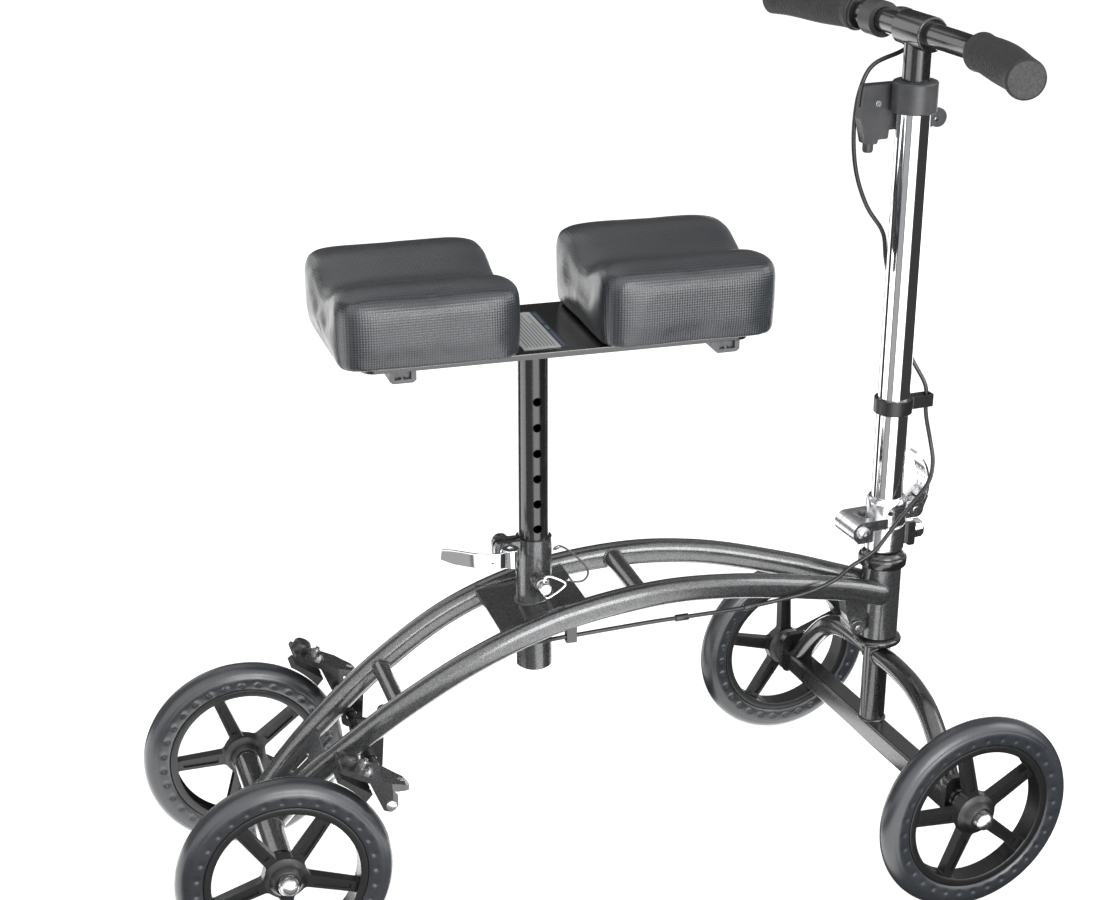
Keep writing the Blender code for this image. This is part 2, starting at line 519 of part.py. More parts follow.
# folding joint: lower casting on the steerer
base = finish(lathe([(0, 0), (17.5, 0), (20.0, 2.5), (20.0, 27.2), (0, 27.2)], (0, 0, 296.6), (0, 0, 1), 24), "fold_base", CHROME, STEER)
boolean(base, finish(box((-35, -9, 308), (-12, 9, 323.6), 1.0), "base_web", CHROME, STEER), 'UNION')
boolean(base, finish(rod((FOLD_X, -9, FOLD_Z), (FOLD_X, 9, FOLD_Z), 11.0, 20), "base_knuckle", CHROME, STEER), 'UNION')
boolean(base, finish(box((15, -8, 300), (27, 8, 323.6), 1.0), "base_lug", CHROME, STEER), 'UNION')
boolean(base, finish(rod((FOLD_X, -20, FOLD_Z), (FOLD_X, 20, FOLD_Z), 4.0, 14), "base_pin_hole", CHROME, STEER))
boolean(base, finish(rod((0, 0, 280), (0, 0, 318.6), STEERER_R + 0.35, 28), "base_bore", CHROME, STEER))
fp = finish(rod((FOLD_X, -21.0, FOLD_Z), (FOLD_X, 21.0, FOLD_Z), 3.6, 12), "fold_pin", ZINC, STEER)
for s in (1, -1):
    boolean(fp, finish(rod((FOLD_X, s * 19.4, FOLD_Z), (FOLD_X, s * 22.4, FOLD_Z), 6.3, 15), "fold_pin_head_%d" % (s + 1), ZINC, STEER), 'UNION')
finish(lathe([(0, 0), (9.5, 0), (10.0, 2.0), (10.0, 11.0), (8.0, 13.5), (0, 14.5)], (27.4, 0, 311.5), (1, 0, 0), 18), "fold_latch_knob", CHROME, STEER)

# ================================================================ COLUMN (folds)
FOLD = (FOLD_X, 0, FOLD_Z)
finish(tube_bm((0, 0, COLUMN_Z0), (0, 0, COLUMN_Z1), COLUMN_R, COLUMN_IN, 28), "column_tube", CHROME, STEER, FOLD)
col = finish(lathe([(0, 0), (20.0, 0), (20.0, 26.0), (18.5, 28.0), (0, 28.0)], (0, 0, 324.4), (0, 0, 1), 24), "fold_collar", CHROME, STEER, FOLD)
for s in (1, -1):
    y0, y1 = (9.6, 19.0) if s > 0 else (-19.0, -9.6)
    boolean(col, finish(box((-35, y0, 324.6), (-8, y1, 335), 1.0), "collar_web_%d" % (s + 1), CHROME, STEER), 'UNION')
    boolean(col, finish(rod((FOLD_X, y0, FOLD_Z), (FOLD_X, y1, FOLD_Z), 11.0, 20), "collar_knuckle_%d" % (s + 1), CHROME, STEER), 'UNION')
boolean(col, finish(box((15, -6, 326.0), (33.5, 6, 344), 1.5), "collar_lug", CHROME, STEER), 'UNION')
boolean(col, finish(rod((FOLD_X, -30, FOLD_Z), (FOLD_X, 30, FOLD_Z), 4.0, 14), "collar_pin_hole", CHROME, STEER))
boolean(col, finish(rod((0, 0, 328.6), (0, 0, 380), COLUMN_R + 0.5, 28), "collar_bore", CHROME, STEER))
boolean(col, finish(rod((28, -20, 336), (28, 20, 336), 3.5, 12), "collar_lug_hole", CHROME, STEER))

strap = finish(lathe([(15.9, 0), (18.6, 0), (18.6, 15), (15.9, 15)], (0, 0, 439), (0, 0, 1), 24), "cable_strap", PLASTIC, STEER, FOLD)
boolean(strap, finish(box((17.2, -6, 440.5), (42, 6, 452.5), 1.2), "strap_lug", PLASTIC, STEER), 'UNION')
boolean(strap, finish(rod((36, 0, 430), (36, 0, 460), 3.8, 12), "strap_hole", PLASTIC, STEER))

# height clamp on the column's mouth
clamp = finish(lathe([(COLUMN_R + 0.45, 0), (20.5, 0), (21.0, 1), (21.0, 27), (19.5, 28.5), (13.4, 28.5), (13.4, 20.4), (COLUMN_R + 0.45, 20.4)],
                     (0, 0, 728), (0, 0, 1), 28), "height_clamp", GREYPL, STEER, FOLD)
boolean(clamp, finish(prism([(-44, 752), (-47, 722), (-41, 698), (-29, 698), (-28, 702), (-18, 702), (-17, 712), (-10, 712), (-10, 752)], 12, 24, 0.8),
                      "clamp_block", GREYPL, STEER), 'UNION')
boolean(clamp, finish(rod((-35, 18, 690), (-35, 18, 700), 5.0, 12), "clamp_ferrule", GREYPL, STEER), 'UNION')
boolean(clamp, finish(lathe([(0, 0), (COLUMN_R + 0.45, 0), (COLUMN_R + 0.45, 60), (0, 60)], (0, 0, 688.4), (0, 0, 1), 28), "clamp_bore_low", GREYPL, STEER))
boolean(clamp, finish(rod((0, 0, 690), (0, 0, 780), 13.4, 28), "clamp_bore_high", GREYPL, STEER))

# ================================================================ LEVERS ON THE FRONT END
FL = (28, 0, 336)
lev = finish(lathe([(0, 0), (8.0, 0), (8.0, 4.4), (0, 4.4)], (28, 6.4, 336), (0, 1, 0), 16), "fold_lever", GREYPL, STEER, FL)
lp = spline([(36.5, 0, 345), (39.5, 0, 354), (39.5, 0, 366), (35.5, 0, 381), (27, 0, 394)], 9)
bmB = bmesh.new()
rr = []
for i, p in enumerate(lp):
    t = (lp[min(i + 1, 8)] - lp[max(i - 1, 0)]).normalized()
    nrm = Vector((t.z, 0, -t.x))
    hw = (10.8, 11, 11, 11, 11, 10.5, 10, 9, 6)[i]
    rr.append([p + nrm * 1.6 + Vector((0, hw, 0)), p + nrm * 1.6 + Vector((0, -hw, 0)),
               p - nrm * 1.6 + Vector((0, -hw, 0)), p - nrm * 1.6 + Vector((0, hw, 0))])
loft(bmB, rr)
boolean(lev, finish(bmB, "fold_lever_blade", GREYPL, STEER, FL), 'UNION')
boolean(lev, finish(lathe([(0, 0), (8.0, 0), (8.0, 4.4), (0, 4.4)], (28, -6.4, 336), (0, -1, 0), 16), "fold_lever_cheek", GREYPL, STEER, FL), 'UNION')
for s in (1, -1):
    y0, y1 = (6.4, 10.8) if s > 0 else (-10.8, -6.4)
    boolean(lev, finish(prism([(27, 330), (36, 337), (40.5, 349), (37, 354), (25, 343)], y0, y1), "fold_lever_side_%d" % (s + 1), GREYPL, STEER, FL), 'UNION')
boolean(lev, finish(rod((28, -11.5, 336), (28, 11.5, 336), 3.0, 12), "fold_lever_pin", GREYPL, STEER, FL), 'UNION')

HLP = (-30, 29, 714)
hl = finish(rod((-30, 29, 705.5), (-30, 29, 722.5), 4.4, 16), "height_lever", GREYPL, STEER, HLP)
hpath = spline([(-30, 29, 714), (-14, 29.5, 714), (8, 29, 714), (28, 27, 714), (42, 26, 714)], 9)
boolean(hl, blade(hpath, [7.5, 7.5, 8, 8, 8.5, 8.5, 9, 8.5, 5.5], 2.0, "height_lever_blade", GREYPL, STEER, HLP), 'UNION')
boolean(hl, finish(lathe([(0, -2.4), (9.0, -2.4), (9.0, 2.4), (0, 2.4)], (42, 26, 714), (0, 1, 0), 18), "height_lever_tip", GREYPL, STEER, HLP), 'UNION')
boolean(hl, finish(rod((40, 20, 713), (40, 32, 713), 2.2, 10), "height_lever_eye", GREYPL, STEER, HLP))

# ================================================================ HANDLEBAR (slides in the column)
stem = finish(rod((0, 0, 500), (0, 0, BAR_Z - 4), STEM_R, 24), "handlebar_stem", BLACK, STEER, (0, 0, BAR_Z))
boolean(stem, finish(rod((0, -24, BAR_Z), (0, 24, BAR_Z), 16.0, 20, cham=1.5), "stem_head", BLACK, STEER), 'UNION')
boolean(stem, finish(rod((0, -40, BAR_Z), (0, 40, BAR_Z), BAR_R + 0.35, 24), "stem_head_bore", BLACK, STEER))
def bar_path(a, b, count):
    """Handlebar centre line from lateral position a to b, swept back outboard."""
    out = []
    for i in range(count):
        y = a + (b - a) * i / (count - 1)
        k = max(abs(y) - 60.0, 0.0)
        out.append(Vector((-0.0013 * k * k * (1.0 if k < 110 else 1.0), y, BAR_Z)))
    return out
finish(sweep(bar_path(-BAR_HALF, BAR_HALF, 19), BAR_R, BAR_R, 12, side=(1, 0, 0)), "handlebar", BLACK, STEER, (0, 0, BAR_Z))
for tag, s in (("left", 1), ("right", -1)):
    gp = bar_path(s * 104, s * 220, 9)
    radii = (17.5, 16.0, 16.4, 17.2, 17.4, 17.0, 16.4, 16.6, 17.6)
    bm = bmesh.new()
    rings_ = []
    for i, p in enumerate(gp):
        t = (gp[min(i + 1, 8)] - gp[max(i - 1, 0)]).normalized()
        sd = Vector((1, 0, 0)); sd = (sd - t * sd.dot(t)).normalized()
        rings_.append(ring(p, sd, t.cross(sd), radii[i], radii[i], 16))
    loft(bm, rings_)
    g = finish(bm, "grip_" + tag, RUBBER, STEER, (0, 0, BAR_Z))
    core = bar_path(s * 98, s * (BAR_HALF + 0.5), 8)
    boolean(g, finish(sweep(core, BAR_R + 0.5, BAR_R + 0.5, 12, side=(1, 0, 0)), "grip_core_" + tag, RUBBER, STEER))

# brake lever body, clamped on the left of the bar
BP = (30, 84, BAR_Z - 4)
bh = finish(tube_bm((-0.1, 62, BAR_Z), (-0.7, 82, BAR_Z), 16.5, BAR_R + 0.9, 20), "brake_lever_body", GREYPL, STEER, (0, 0, BAR_Z))
boolean(bh, finish(box((12.5, 56, BAR_Z - 13), (38, 79, BAR_Z + 5), 2.0), "brake_body_block", GREYPL, STEER), 'UNION')
boolean(bh, finish(box((22, 76, BAR_Z - 13), (38, 93, BAR_Z - 9), 0.0), "brake_body_tab_low", GREYPL, STEER), 'UNION')
boolean(bh, finish(box((22, 76, BAR_Z + 1), (38, 93, BAR_Z + 5), 0.0), "brake_body_tab_top", GREYPL, STEER), 'UNION')
boolean(bh, finish(rod((26, 57, BAR_Z - 4), (26, 44, BAR_Z - 4), 4.6, 12), "brake_adjuster", GREYPL, STEER), 'UNION')
boolean(bh, finish(rod((26, 36, BAR_Z - 4), (26, 60, BAR_Z - 4), 2.6, 10), "brake_adjuster_bore", GREYPL, STEER))
boolean(bh, finish(rod((30, 86, BAR_Z - 30), (30, 86, BAR_Z + 20), 2.7, 12), "brake_pivot_hole", GREYPL, STEER))
BLP = (30, 86, BAR_Z - 4)
blv = finish(rod((30, 86, BAR_Z - 8.4), (30, 86, BAR_Z + 0.4), 6.0, 14), "brake_lever", GREYPL, STEER, BLP)
bp = spline([(30, 86, BAR_Z - 4), (37, 100, BAR_Z - 4), (43, 122, BAR_Z - 5), (42, 150, BAR_Z - 6), (36, 176, BAR_Z - 7), (32, 196, BAR_Z - 8)], 12)
boolean(blv, blade(bp, [4.0, 4.2, 5, 6, 7, 7.5, 7.5, 7.5, 7.5, 7, 6.5, 5], 2.2, "brake_lever_blade", GREYPL, STEER, BLP), 'UNION')
boolean(blv, finish(rod((30, 86, BAR_Z - 11), (30, 86, BAR_Z + 3), 2.3, 12), "brake_lever_pin", GREYPL, STEER, BLP), 'UNION')

# ================================================================ REAR BRAKE YOKE
BO = (BRAKE_X, 0, BRAKE_Z)
yoke = finish(rod((BRAKE_X, -132, BRAKE_Z), (BRAKE_X, 132, BRAKE_Z), 5.0, 14), "brake_yoke", BLACK, FRAME, BO)
for s in (1, -1):
    y0, y1 = (99, 133) if s > 0 else (-133, -99)
    # paddle: plate from in front of the tyre up over its crown
    boolean(yoke, finish(prism([(114.5, 173.5), (119, 168.5), (121, 172.5), (112.5, 180.0), (54, 209.5), (52, 205.5), (104, 176.5)], y0, y1),
                         "paddle_%d" % (s + 1), BLACK, FRAME, BO), 'UNION')
    for yy in (y0 + 2.0, y1 - 2.0):
        boolean(yoke, finish(prism([(90, 161), (97, 158.5), (104, 162), (105, 172), (98, 182), (76, 196)], yy - 1.6, yy + 1.6),
                             "cheek_%d_%d" % (s + 1, int(abs(yy))), BLACK, FRAME, BO), 'UNION')
crank = finish(prism([(89, 169), (90.5, 158), (99, 156), (120, 158.5), (123, 162.5), (120.5, 167), (103, 173), (95, 173.5)], 20.0, 24.5, 0.0), "crank", BLACK, FRAME, BO)
boolean(yoke, crank, 'UNION')
boolean(yoke, finish(rod((118.5, 12, 162.7), (118.5, 32, 162.7), 2.0, 10), "crank_hole", BLACK, FRAME, BO))
for s in (1, -1):
    # the paddle narrows to a rounded nose in front
    for e in (1, -1):
        nose = prism([(94, s * 117 + e * 18), (100, s * 117 + e * 14), (106, s * 117 + e * 10.5), (112, s * 117 + e * 9), (116.5, s * 117 + e * 6.5), (119.5, s * 117 + e * 2.5), (128, s * 117 + e * 2.5), (128, s * 117 + e * 24), (94, s * 117 + e * 24)], 160.0, 200.0, plane='XY')
        boolean(yoke, finish(nose, "nose_%d_%d" % (s + 1, e + 1), BLACK, FRAME, BO))
for tag, s in (("left", 1), ("right", -1)):
    # shoe: rubber block under the paddle, held by a bolt with a round knob
    a = math.radians(52.0)
    d = Vector((math.cos(a), 0, math.sin(a)))
    t = Vector((-math.sin(a), 0, math.cos(a)))
    c = Vector((0, s * 117.0, 100))
    bm = bmesh.new()
    rings_ = []
    for yy in (-11.0, 11.0):
        row = []
        for k in range(7):
            # the face fits the tyre when the arms have turned by the brake's travel
            b = math.radians(52 - 10 + 20 * k / 6.0)
            q = Vector((WHEEL_R * math.cos(b) + 0.35 * math.cos(b) - BRAKE_X, 0, 100 + (WHEEL_R + 0.35) * math.sin(b) - BRAKE_Z))
            q.rotate(Matrix.Rotation(math.radians(BRAKE_TRAVEL), 3, 'Y'))
            row.append(Vector((BRAKE_X + q.x, s * 117.0 + yy, BRAKE_Z + q.z)))
        row += [c + d * 113.0 + t * 18 + Vector((0, yy, 0)), c + d * 113.2 - t * 8 + Vector((0, yy, 0)), c + d * 111.5 - t * 17.5 + Vector((0, yy, 0))]
        rings_.append(row)
    loft(bm, rings_)
    sh = finish(bm, "brake_shoe_" + tag, RUBBER, FRAME, BO)
    pc = finish(prism([(114.5, 173.2), (119, 168.2), (121, 172.5), (112.5, 180.3), (54, 209.9), (51.6, 205.2), (104, 176.2)], s * 117 - 20, s * 117 + 20),
                "paddle_clear_" + tag, BLACK, FRAME, BO)
    boolean(sh, pc)
    boolean(yoke, finish(lathe([(0, 0), (8.0, 0), (9.0, 1.5), (9.0, 9.5), (7.5, 11.5), (0, 12.5)], (60.4, s * 117, 205.4), (0.45, 0, 0.89), 16),
                         "brake_knob_" + tag, BLACK, FRAME, BO), 'UNION')

# ================================================================ BRAKE CABLE (one housing, lever to crank)
c5, s5 = math.cos(math.radians(STEER_REST_DEG)), math.sin(math.radians(STEER_REST_DEG))
def front(x, y, z):
    """Point of the steered front end in frame coordinates."""
    return (STEER_X + x * c5 - y * s5, x * s5 + y * c5, z)
route = [front(26, 43.2, BAR_Z - 4), front(22, 30, BAR_Z - 9), front(2, 28, BAR_Z - 22), front(-28, 29, BAR_Z - 33),
         front(-40, 29, BAR_Z - 54), front(-44, 29, BAR_Z - 80), front(-43, 29, 690), front(-34, 28.5, 660), front(-21, 27, 620), front(-8, 25, 583),
         front(8, 23, 540), front(22, 14, 492), front(35, 1.6, 462), front(36, 0, 446.5), front(37, -1.2, 430), front(42, -4, 405), front(42, -12, 385),
         front(32, -22, 368), front(10, -30, 352), front(-14, -36, 332), front(-34, -40, 314),
         (574, -44, 301), (556, -48, 291), (530, -47, 281), (500, -46, 276), (460, -47, 273), (420, -49, 273), (370, -51, 273), (320, -52, 271.4), (300, -52, 270.4), (278, -52, 269.4),
         (255, -46, 265), (232, -41.5, 266), (205, -41, 257), (175, -39.3, 240), (150, -35.5, 222), (136, -29, 208), (129, -20, 202),
         (123, -6, 197), (119.5, 9, 190), (118.6, 18.5, 182), (118.5, 22.2, 174)]
cab = spline(route, 78)
finish(sweep(cab, 2.1, 2.1, 6, side=(0.35, 0.93, 0.1)), "brake_cable", CABLE)

# ================================================================ WHEELS
wheel("rear_left", (0, REAR_TRACK / 2, 100), FRAME, 38, False)
wheel("rear_right", (0, -REAR_TRACK / 2, 100), FRAME, 54, False)
wheel("front_left", (0, FRONT_TRACK / 2, 100), STEER, 20, False)
wheel("front_right", (0, -FRONT_TRACK / 2, 100), STEER, 31, False)
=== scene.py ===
# Looks for the knee scooter: detailed pieces, materials, floor, light and camera
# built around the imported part.  Lengths are in millimetres in the design frame
# (rear axle at X = 0, ground at Z = 0) and turned into metres at the end.
import math
import bpy
import bmesh
import numpy as np
from mathutils import Matrix, Vector


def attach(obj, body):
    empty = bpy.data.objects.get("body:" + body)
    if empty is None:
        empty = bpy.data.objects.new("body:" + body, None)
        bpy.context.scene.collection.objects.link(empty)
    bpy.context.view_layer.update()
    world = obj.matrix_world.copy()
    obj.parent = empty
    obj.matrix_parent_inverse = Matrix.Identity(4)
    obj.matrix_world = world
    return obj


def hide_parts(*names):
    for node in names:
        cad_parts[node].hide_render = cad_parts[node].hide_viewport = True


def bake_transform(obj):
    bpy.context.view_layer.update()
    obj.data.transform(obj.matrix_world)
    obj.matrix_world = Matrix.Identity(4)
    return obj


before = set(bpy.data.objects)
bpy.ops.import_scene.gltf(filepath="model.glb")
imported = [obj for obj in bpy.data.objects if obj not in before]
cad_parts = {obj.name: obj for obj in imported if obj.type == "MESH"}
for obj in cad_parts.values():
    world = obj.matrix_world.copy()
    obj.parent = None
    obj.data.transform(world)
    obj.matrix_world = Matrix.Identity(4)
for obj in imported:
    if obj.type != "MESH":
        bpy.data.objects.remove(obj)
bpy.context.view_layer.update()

ORIGIN_X = -323.4
STEER_X = 628.0
STEER_REST = math.radians(5.56)
M_FRAME = Matrix.Scale(0.001, 4) @ Matrix.Translation((ORIGIN_X, 0, 0))
M_STEER = M_FRAME @ Matrix.Translation((STEER_X, 0, 0)) @ Matrix.Rotation(STEER_REST, 4, 'Z')
SPACES = {"F": M_FRAME, "S": M_STEER}

# =====================================================================
#  materials
# =====================================================================
class Nodes:
    """Small helper for wiring a material."""
    def __init__(self, name):
        self.m = bpy.data.materials.new(name)
        self.m.use_nodes = True
        self.t = self.m.node_tree
        self.b = self.t.nodes["Principled BSDF"]
        self.co = self.new("ShaderNodeTexCoord").outputs["Object"]

    def new(self, kind, **props):
        n = self.t.nodes.new(kind)
        for k, v in props.items():
            setattr(n, k, v)
        return n

    def link(self, a, b):
        self.t.links.new(a, b)

    def set(self, **kv):
        for k, v in kv.items():
            self.b.inputs[k.replace("_", " ")].default_value = v

    def noise(self, scale, detail=2.0, rough=0.5, dist=0.0, vec=None):
        n = self.new("ShaderNodeTexNoise")
        n.inputs["Scale"].default_value = scale
        n.inputs["Detail"].default_value = detail
        n.inputs["Roughness"].default_value = rough
        n.inputs["Distortion"].default_value = dist
        self.link(vec or self.co, n.inputs["Vector"])
        return n.outputs["Fac"]

    def voronoi(self, scale, feature="F1", vec=None, out="Distance"):
        n = self.new("ShaderNodeTexVoronoi", feature=feature)
        n.inputs["Scale"].default_value = scale
        self.link(vec or self.co, n.inputs["Vector"])
        return n.outputs[out]

    def ramp(self, fac, stops):
        n = self.new("ShaderNodeValToRGB")
        el = n.color_ramp.elements
        while len(el) > 1:
            el.remove(el[-1])
        for i, (p, c) in enumerate(stops):
            e = el[0] if i == 0 else el.new(p)
            e.position = p
            e.color = (c[0], c[1], c[2], 1.0) if isinstance(c, (tuple, list)) else (c, c, c, 1.0)
        self.link(fac, n.inputs["Fac"])
        return n.outputs["Color"]

    def maprange(self, fac, a, b, c, d):
        n = self.new("ShaderNodeMapRange")
        for k, v in zip(("From Min", "From Max", "To Min", "To Max"), (a, b, c, d)):
            n.inputs[k].default_value = v
        self.link(fac, n.inputs["Value"])
        return n.outputs["Result"]

    def math(self, op, a, b=None, clamp=False):
        n = self.new("ShaderNodeMath", operation=op, use_clamp=clamp)
        for i, v in enumerate((a, b)):
            if v is None:
                continue
            if isinstance(v, (int, float)):
                n.inputs[i].default_value = v
            else:
                self.link(v, n.inputs[i])
        return n.outputs[0]

    def mix(self, fac, a, b, blend="MIX"):
        n = self.new("ShaderNodeMix", data_type="RGBA", blend_type=blend)
        for key, v in ((0, fac), (6, a), (7, b)):
            if isinstance(v, (int, float)):
                n.inputs[key].default_value = v
            elif isinstance(v, tuple):
                n.inputs[key].default_value = (v[0], v[1], v[2], 1.0)
            else:
                self.link(v, n.inputs[key])
        return n.outputs[2]

    def bump(self, height, strength, distance, normal=None):
        n = self.new("ShaderNodeBump")
        n.inputs["Strength"].default_value = strength
        n.inputs["Distance"].default_value = distance
        self.link(height, n.inputs["Height"])
        if normal is not None:
            self.link(normal, n.inputs["Normal"])
        return n.outputs["Normal"]

    def out(self, color=None, rough=None, normal=None, metal=None, coat_normal=None):
        if color is not None:
            self.link(color, self.b.inputs["Base Color"])
        if rough is not None:
            self.link(rough, self.b.inputs["Roughness"])
        if normal is not None:
            self.link(normal, self.b.inputs["Normal"])
        if metal is not None:
            self.link(metal, self.b.inputs["Metallic"])
        return self.m


def make_vein(name, level):
    n = Nodes(name)
    warp = n.noise(160, 3, 0.6)
    edge = n.voronoi(760, "DISTANCE_TO_EDGE")
    cell = n.noise(950, 3, 0.6, 0.8)
    veins = n.math("ADD", n.math("MULTIPLY", edge, 1.6), n.math("MULTIPLY", cell, 0.55))
    veins = n.math("ADD", veins, n.math("MULTIPLY", warp, 0.25))
    L = level
    col = n.ramp(veins, [(0.30, (0.018 * L, 0.018 * L, 0.019 * L)), (0.52, (0.050 * L, 0.051 * L, 0.053 * L)), (0.74, (0.11 * L, 0.112 * L, 0.115 * L)), (0.95, (0.18 * L, 0.182 * L, 0.186 * L))])
    broad = n.noise(22, 3, 0.5)
    col = n.mix(n.maprange(broad, 0.35, 0.7, 0.0, 0.25), col, (0.06 * L, 0.061 * L, 0.063 * L))
    met = n.maprange(veins, 0.3, 0.95, 0.25, 0.60)
    rough = n.maprange(n.noise(260, 3, 0.6), 0.3, 0.75, 0.24, 0.38)
    nb = n.bump(veins, 0.22, 0.00009)
    n.set(Coat_Weight=0.9, Coat_Roughness=0.12)
    return n.out(col, rough, nb, met)


def make_gloss_black(name="gloss_black_paint", base=0.012, rough=0.20, coat=0.5):
    n = Nodes(name)
    c = n.mix(n.maprange(n.noise(60, 4, 0.6), 0.35, 0.75, 0.0, 0.6), (base, base, base * 1.08), (base * 1.9, base * 1.9, base * 2.0))
    r = n.maprange(n.noise(420, 3, 0.6), 0.3, 0.75, rough - 0.04, rough + 0.09)
    peel = n.noise(900, 2, 0.5)
    dust = n.noise(2600, 1, 0.5)
    c = n.mix(n.maprange(dust, 0.70, 0.80, 0.0, 0.35), c, (0.10, 0.10, 0.10))
    n.set(Coat_Weight=coat, Coat_Roughness=0.07)
    return n.out(c, r, n.bump(peel, 0.12, 0.00015))


def make_chrome():
    n = Nodes("polished_chrome")
    n.set(Metallic=1.0)
    c = n.mix(n.maprange(n.noise(35, 4, 0.6), 0.4, 0.8, 0.0, 1.0), (0.86, 0.865, 0.88), (0.78, 0.785, 0.80))
    st = n.new("ShaderNodeMapping")
    st.inputs["Scale"].default_value = (900, 900, 26)
    n.link(n.co, st.inputs["Vector"])
    fine = n.noise(1.0, 3, 0.6, 0.0, st.outputs["Vector"])
    smear = n.noise(48, 4, 0.62, 1.2)
    r = n.math("ADD", n.maprange(smear, 0.45, 0.80, 0.045, 0.13), n.maprange(fine, 0.55, 0.8, 0.0, 0.05))
    return n.out(c, r, n.bump(fine, 0.03, 0.00008))


def make_cast_chrome():
    n = Nodes("cast_chrome")
    n.set(Metallic=1.0)
    c = n.mix(n.noise(80, 4, 0.6), (0.60, 0.60, 0.61), (0.76, 0.765, 0.78))
    r = n.maprange(n.noise(300, 4, 0.6), 0.3, 0.8, 0.16, 0.30)
    return n.out(c, r, n.bump(n.noise(420, 3, 0.6), 0.18, 0.0004))


def make_zinc():
    n = Nodes("bright_zinc")
    n.set(Metallic=1.0)
    c = n.mix(n.noise(240, 4, 0.6), (0.44, 0.44, 0.45), (0.66, 0.66, 0.68))
    r = n.maprange(n.noise(600, 3, 0.6), 0.3, 0.8, 0.22, 0.40)
    return n.out(c, r, n.bump(n.noise(1500, 2, 0.6), 0.15, 0.0002))


def make_plastic(name, col, rough, grain=1400, bumpd=0.00012):
    n = Nodes(name)
    a, b = tuple(v * 0.85 for v in col), tuple(v * 1.35 for v in col)
    c = n.mix(n.maprange(n.noise(90, 4, 0.62), 0.3, 0.75, 0.0, 1.0), a, b)
    dust = n.noise(3200, 1, 0.5)
    c = n.mix(n.maprange(dust, 0.70, 0.82, 0.0, 0.25), c, (0.16, 0.16, 0.16))
    r = n.maprange(n.noise(500, 3, 0.6), 0.3, 0.8, rough - 0.07, rough + 0.08)
    return n.out(c, r, n.bump(n.voronoi(grain, "SMOOTH_F1"), 0.25, bumpd))


def make_tyre():
    n = Nodes("solid_tyre")
    broad = n.noise(26, 4, 0.6)
    c = n.mix(n.maprange(broad, 0.3, 0.75, 0.0, 1.0), (0.028, 0.032, 0.038), (0.050, 0.055, 0.062))
    c = n.mix(n.maprange(n.noise(1500, 2, 0.6), 0.62, 0.78, 0.0, 0.30), c, (0.17, 0.17, 0.17))
    r = n.maprange(n.noise(120, 4, 0.62), 0.3, 0.8, 0.26, 0.40)
    n.set(Coat_Weight=0.25, Coat_Roughness=0.22)
    return n.out(c, r, n.bump(n.noise(1100, 3, 0.6), 0.20, 0.00018))


def make_vinyl():
    n = Nodes("embossed_vinyl")
    # small woven emboss, laid on by which way the surface faces
    sep = n.new("ShaderNodeSeparateXYZ")
    n.link(n.co, sep.inputs[0])
    nrm = n.new("ShaderNodeSeparateXYZ")
    tc = n.new("ShaderNodeTexCoord")
    n.link(tc.outputs["Normal"], nrm.inputs[0])
    ax = n.math("ABSOLUTE", nrm.outputs[0])
    ay = n.math("ABSOLUTE", nrm.outputs[1])
    az = n.math("ABSOLUTE", nrm.outputs[2])
    K = 2 * math.pi / 0.0046
    def weave(u, v):
        p = n.math("SINE", n.math("MULTIPLY", n.math("ADD", u, v), K))
        q = n.math("SINE", n.math("MULTIPLY", n.math("SUBTRACT", u, v), K))
        return n.math("ADD", n.math("MULTIPLY", n.math("MULTIPLY", p, q), 0.5), 0.5)
    wz = weave(sep.outputs[0], sep.outputs[1])
    wy = weave(sep.outputs[0], sep.outputs[2])
    wx = weave(sep.outputs[1], sep.outputs[2])
    def sharpen(a):
        return n.math("POWER", a, 6.0)
    ex, ey, ez = sharpen(ax), sharpen(ay), sharpen(az)
    tot = n.math("ADD", n.math("ADD", ex, ey), ez)
    w = n.math("DIVIDE", n.math("ADD", n.math("ADD", n.math("MULTIPLY", wx, ex), n.math("MULTIPLY", wy, ey)), n.math("MULTIPLY", wz, ez)), tot)
    broad = n.noise(14, 4, 0.6)
    c = n.mix(n.maprange(broad, 0.3, 0.7, 0.0, 1.0), (0.025, 0.029, 0.035), (0.035, 0.040, 0.047))
    # painted shade in the pits of the weave and painted highlight on its raised tops, following the emboss height w
    c = n.mix(n.maprange(w, 0.0, 0.40, 0.80, 0.0), c, (0.008, 0.009, 0.010))
    c = n.mix(n.maprange(w, 0.66, 1.0, 0.0, 0.55), c, (0.115, 0.122, 0.130))
    r = n.maprange(n.noise(70, 4, 0.6), 0.3, 0.8, 0.28, 0.40)
    grain = n.math("ADD", n.math("MULTIPLY", w, 1.0), n.math("MULTIPLY", n.noise(2200, 2, 0.6), 0.25))
    n.set(Sheen_Weight=0.05, Sheen_Roughness=0.4, Specular_IOR_Level=0.55, Coat_Weight=0.12, Coat_Roughness=0.25)
    return n.out(c, r, n.bump(grain, 0.6, 0.00035))


def make_rubber(name="moulded_rubber", col=0.018):
    n = Nodes(name)
    c = n.mix(n.noise(120, 4, 0.6), (col * 0.8, col * 0.8, col * 0.82), (col * 1.7, col * 1.7, col * 1.7))
    r = n.maprange(n.noise(400, 3, 0.6), 0.3, 0.8, 0.50, 0.72)
    return n.out(c, r, n.bump(n.noise(1600, 3, 0.6), 0.3, 0.0002))


def make_label():
    n = Nodes("film_sticker")
    c = n.mix(n.noise(300, 2, 0.5), (0.74, 0.75, 0.75), (0.80, 0.81, 0.80))
    n.set(Roughness=0.32, Coat_Weight=0.3)
    return n.out(c, None, n.bump(n.noise(60, 2, 0.5), 0.1, 0.0003))


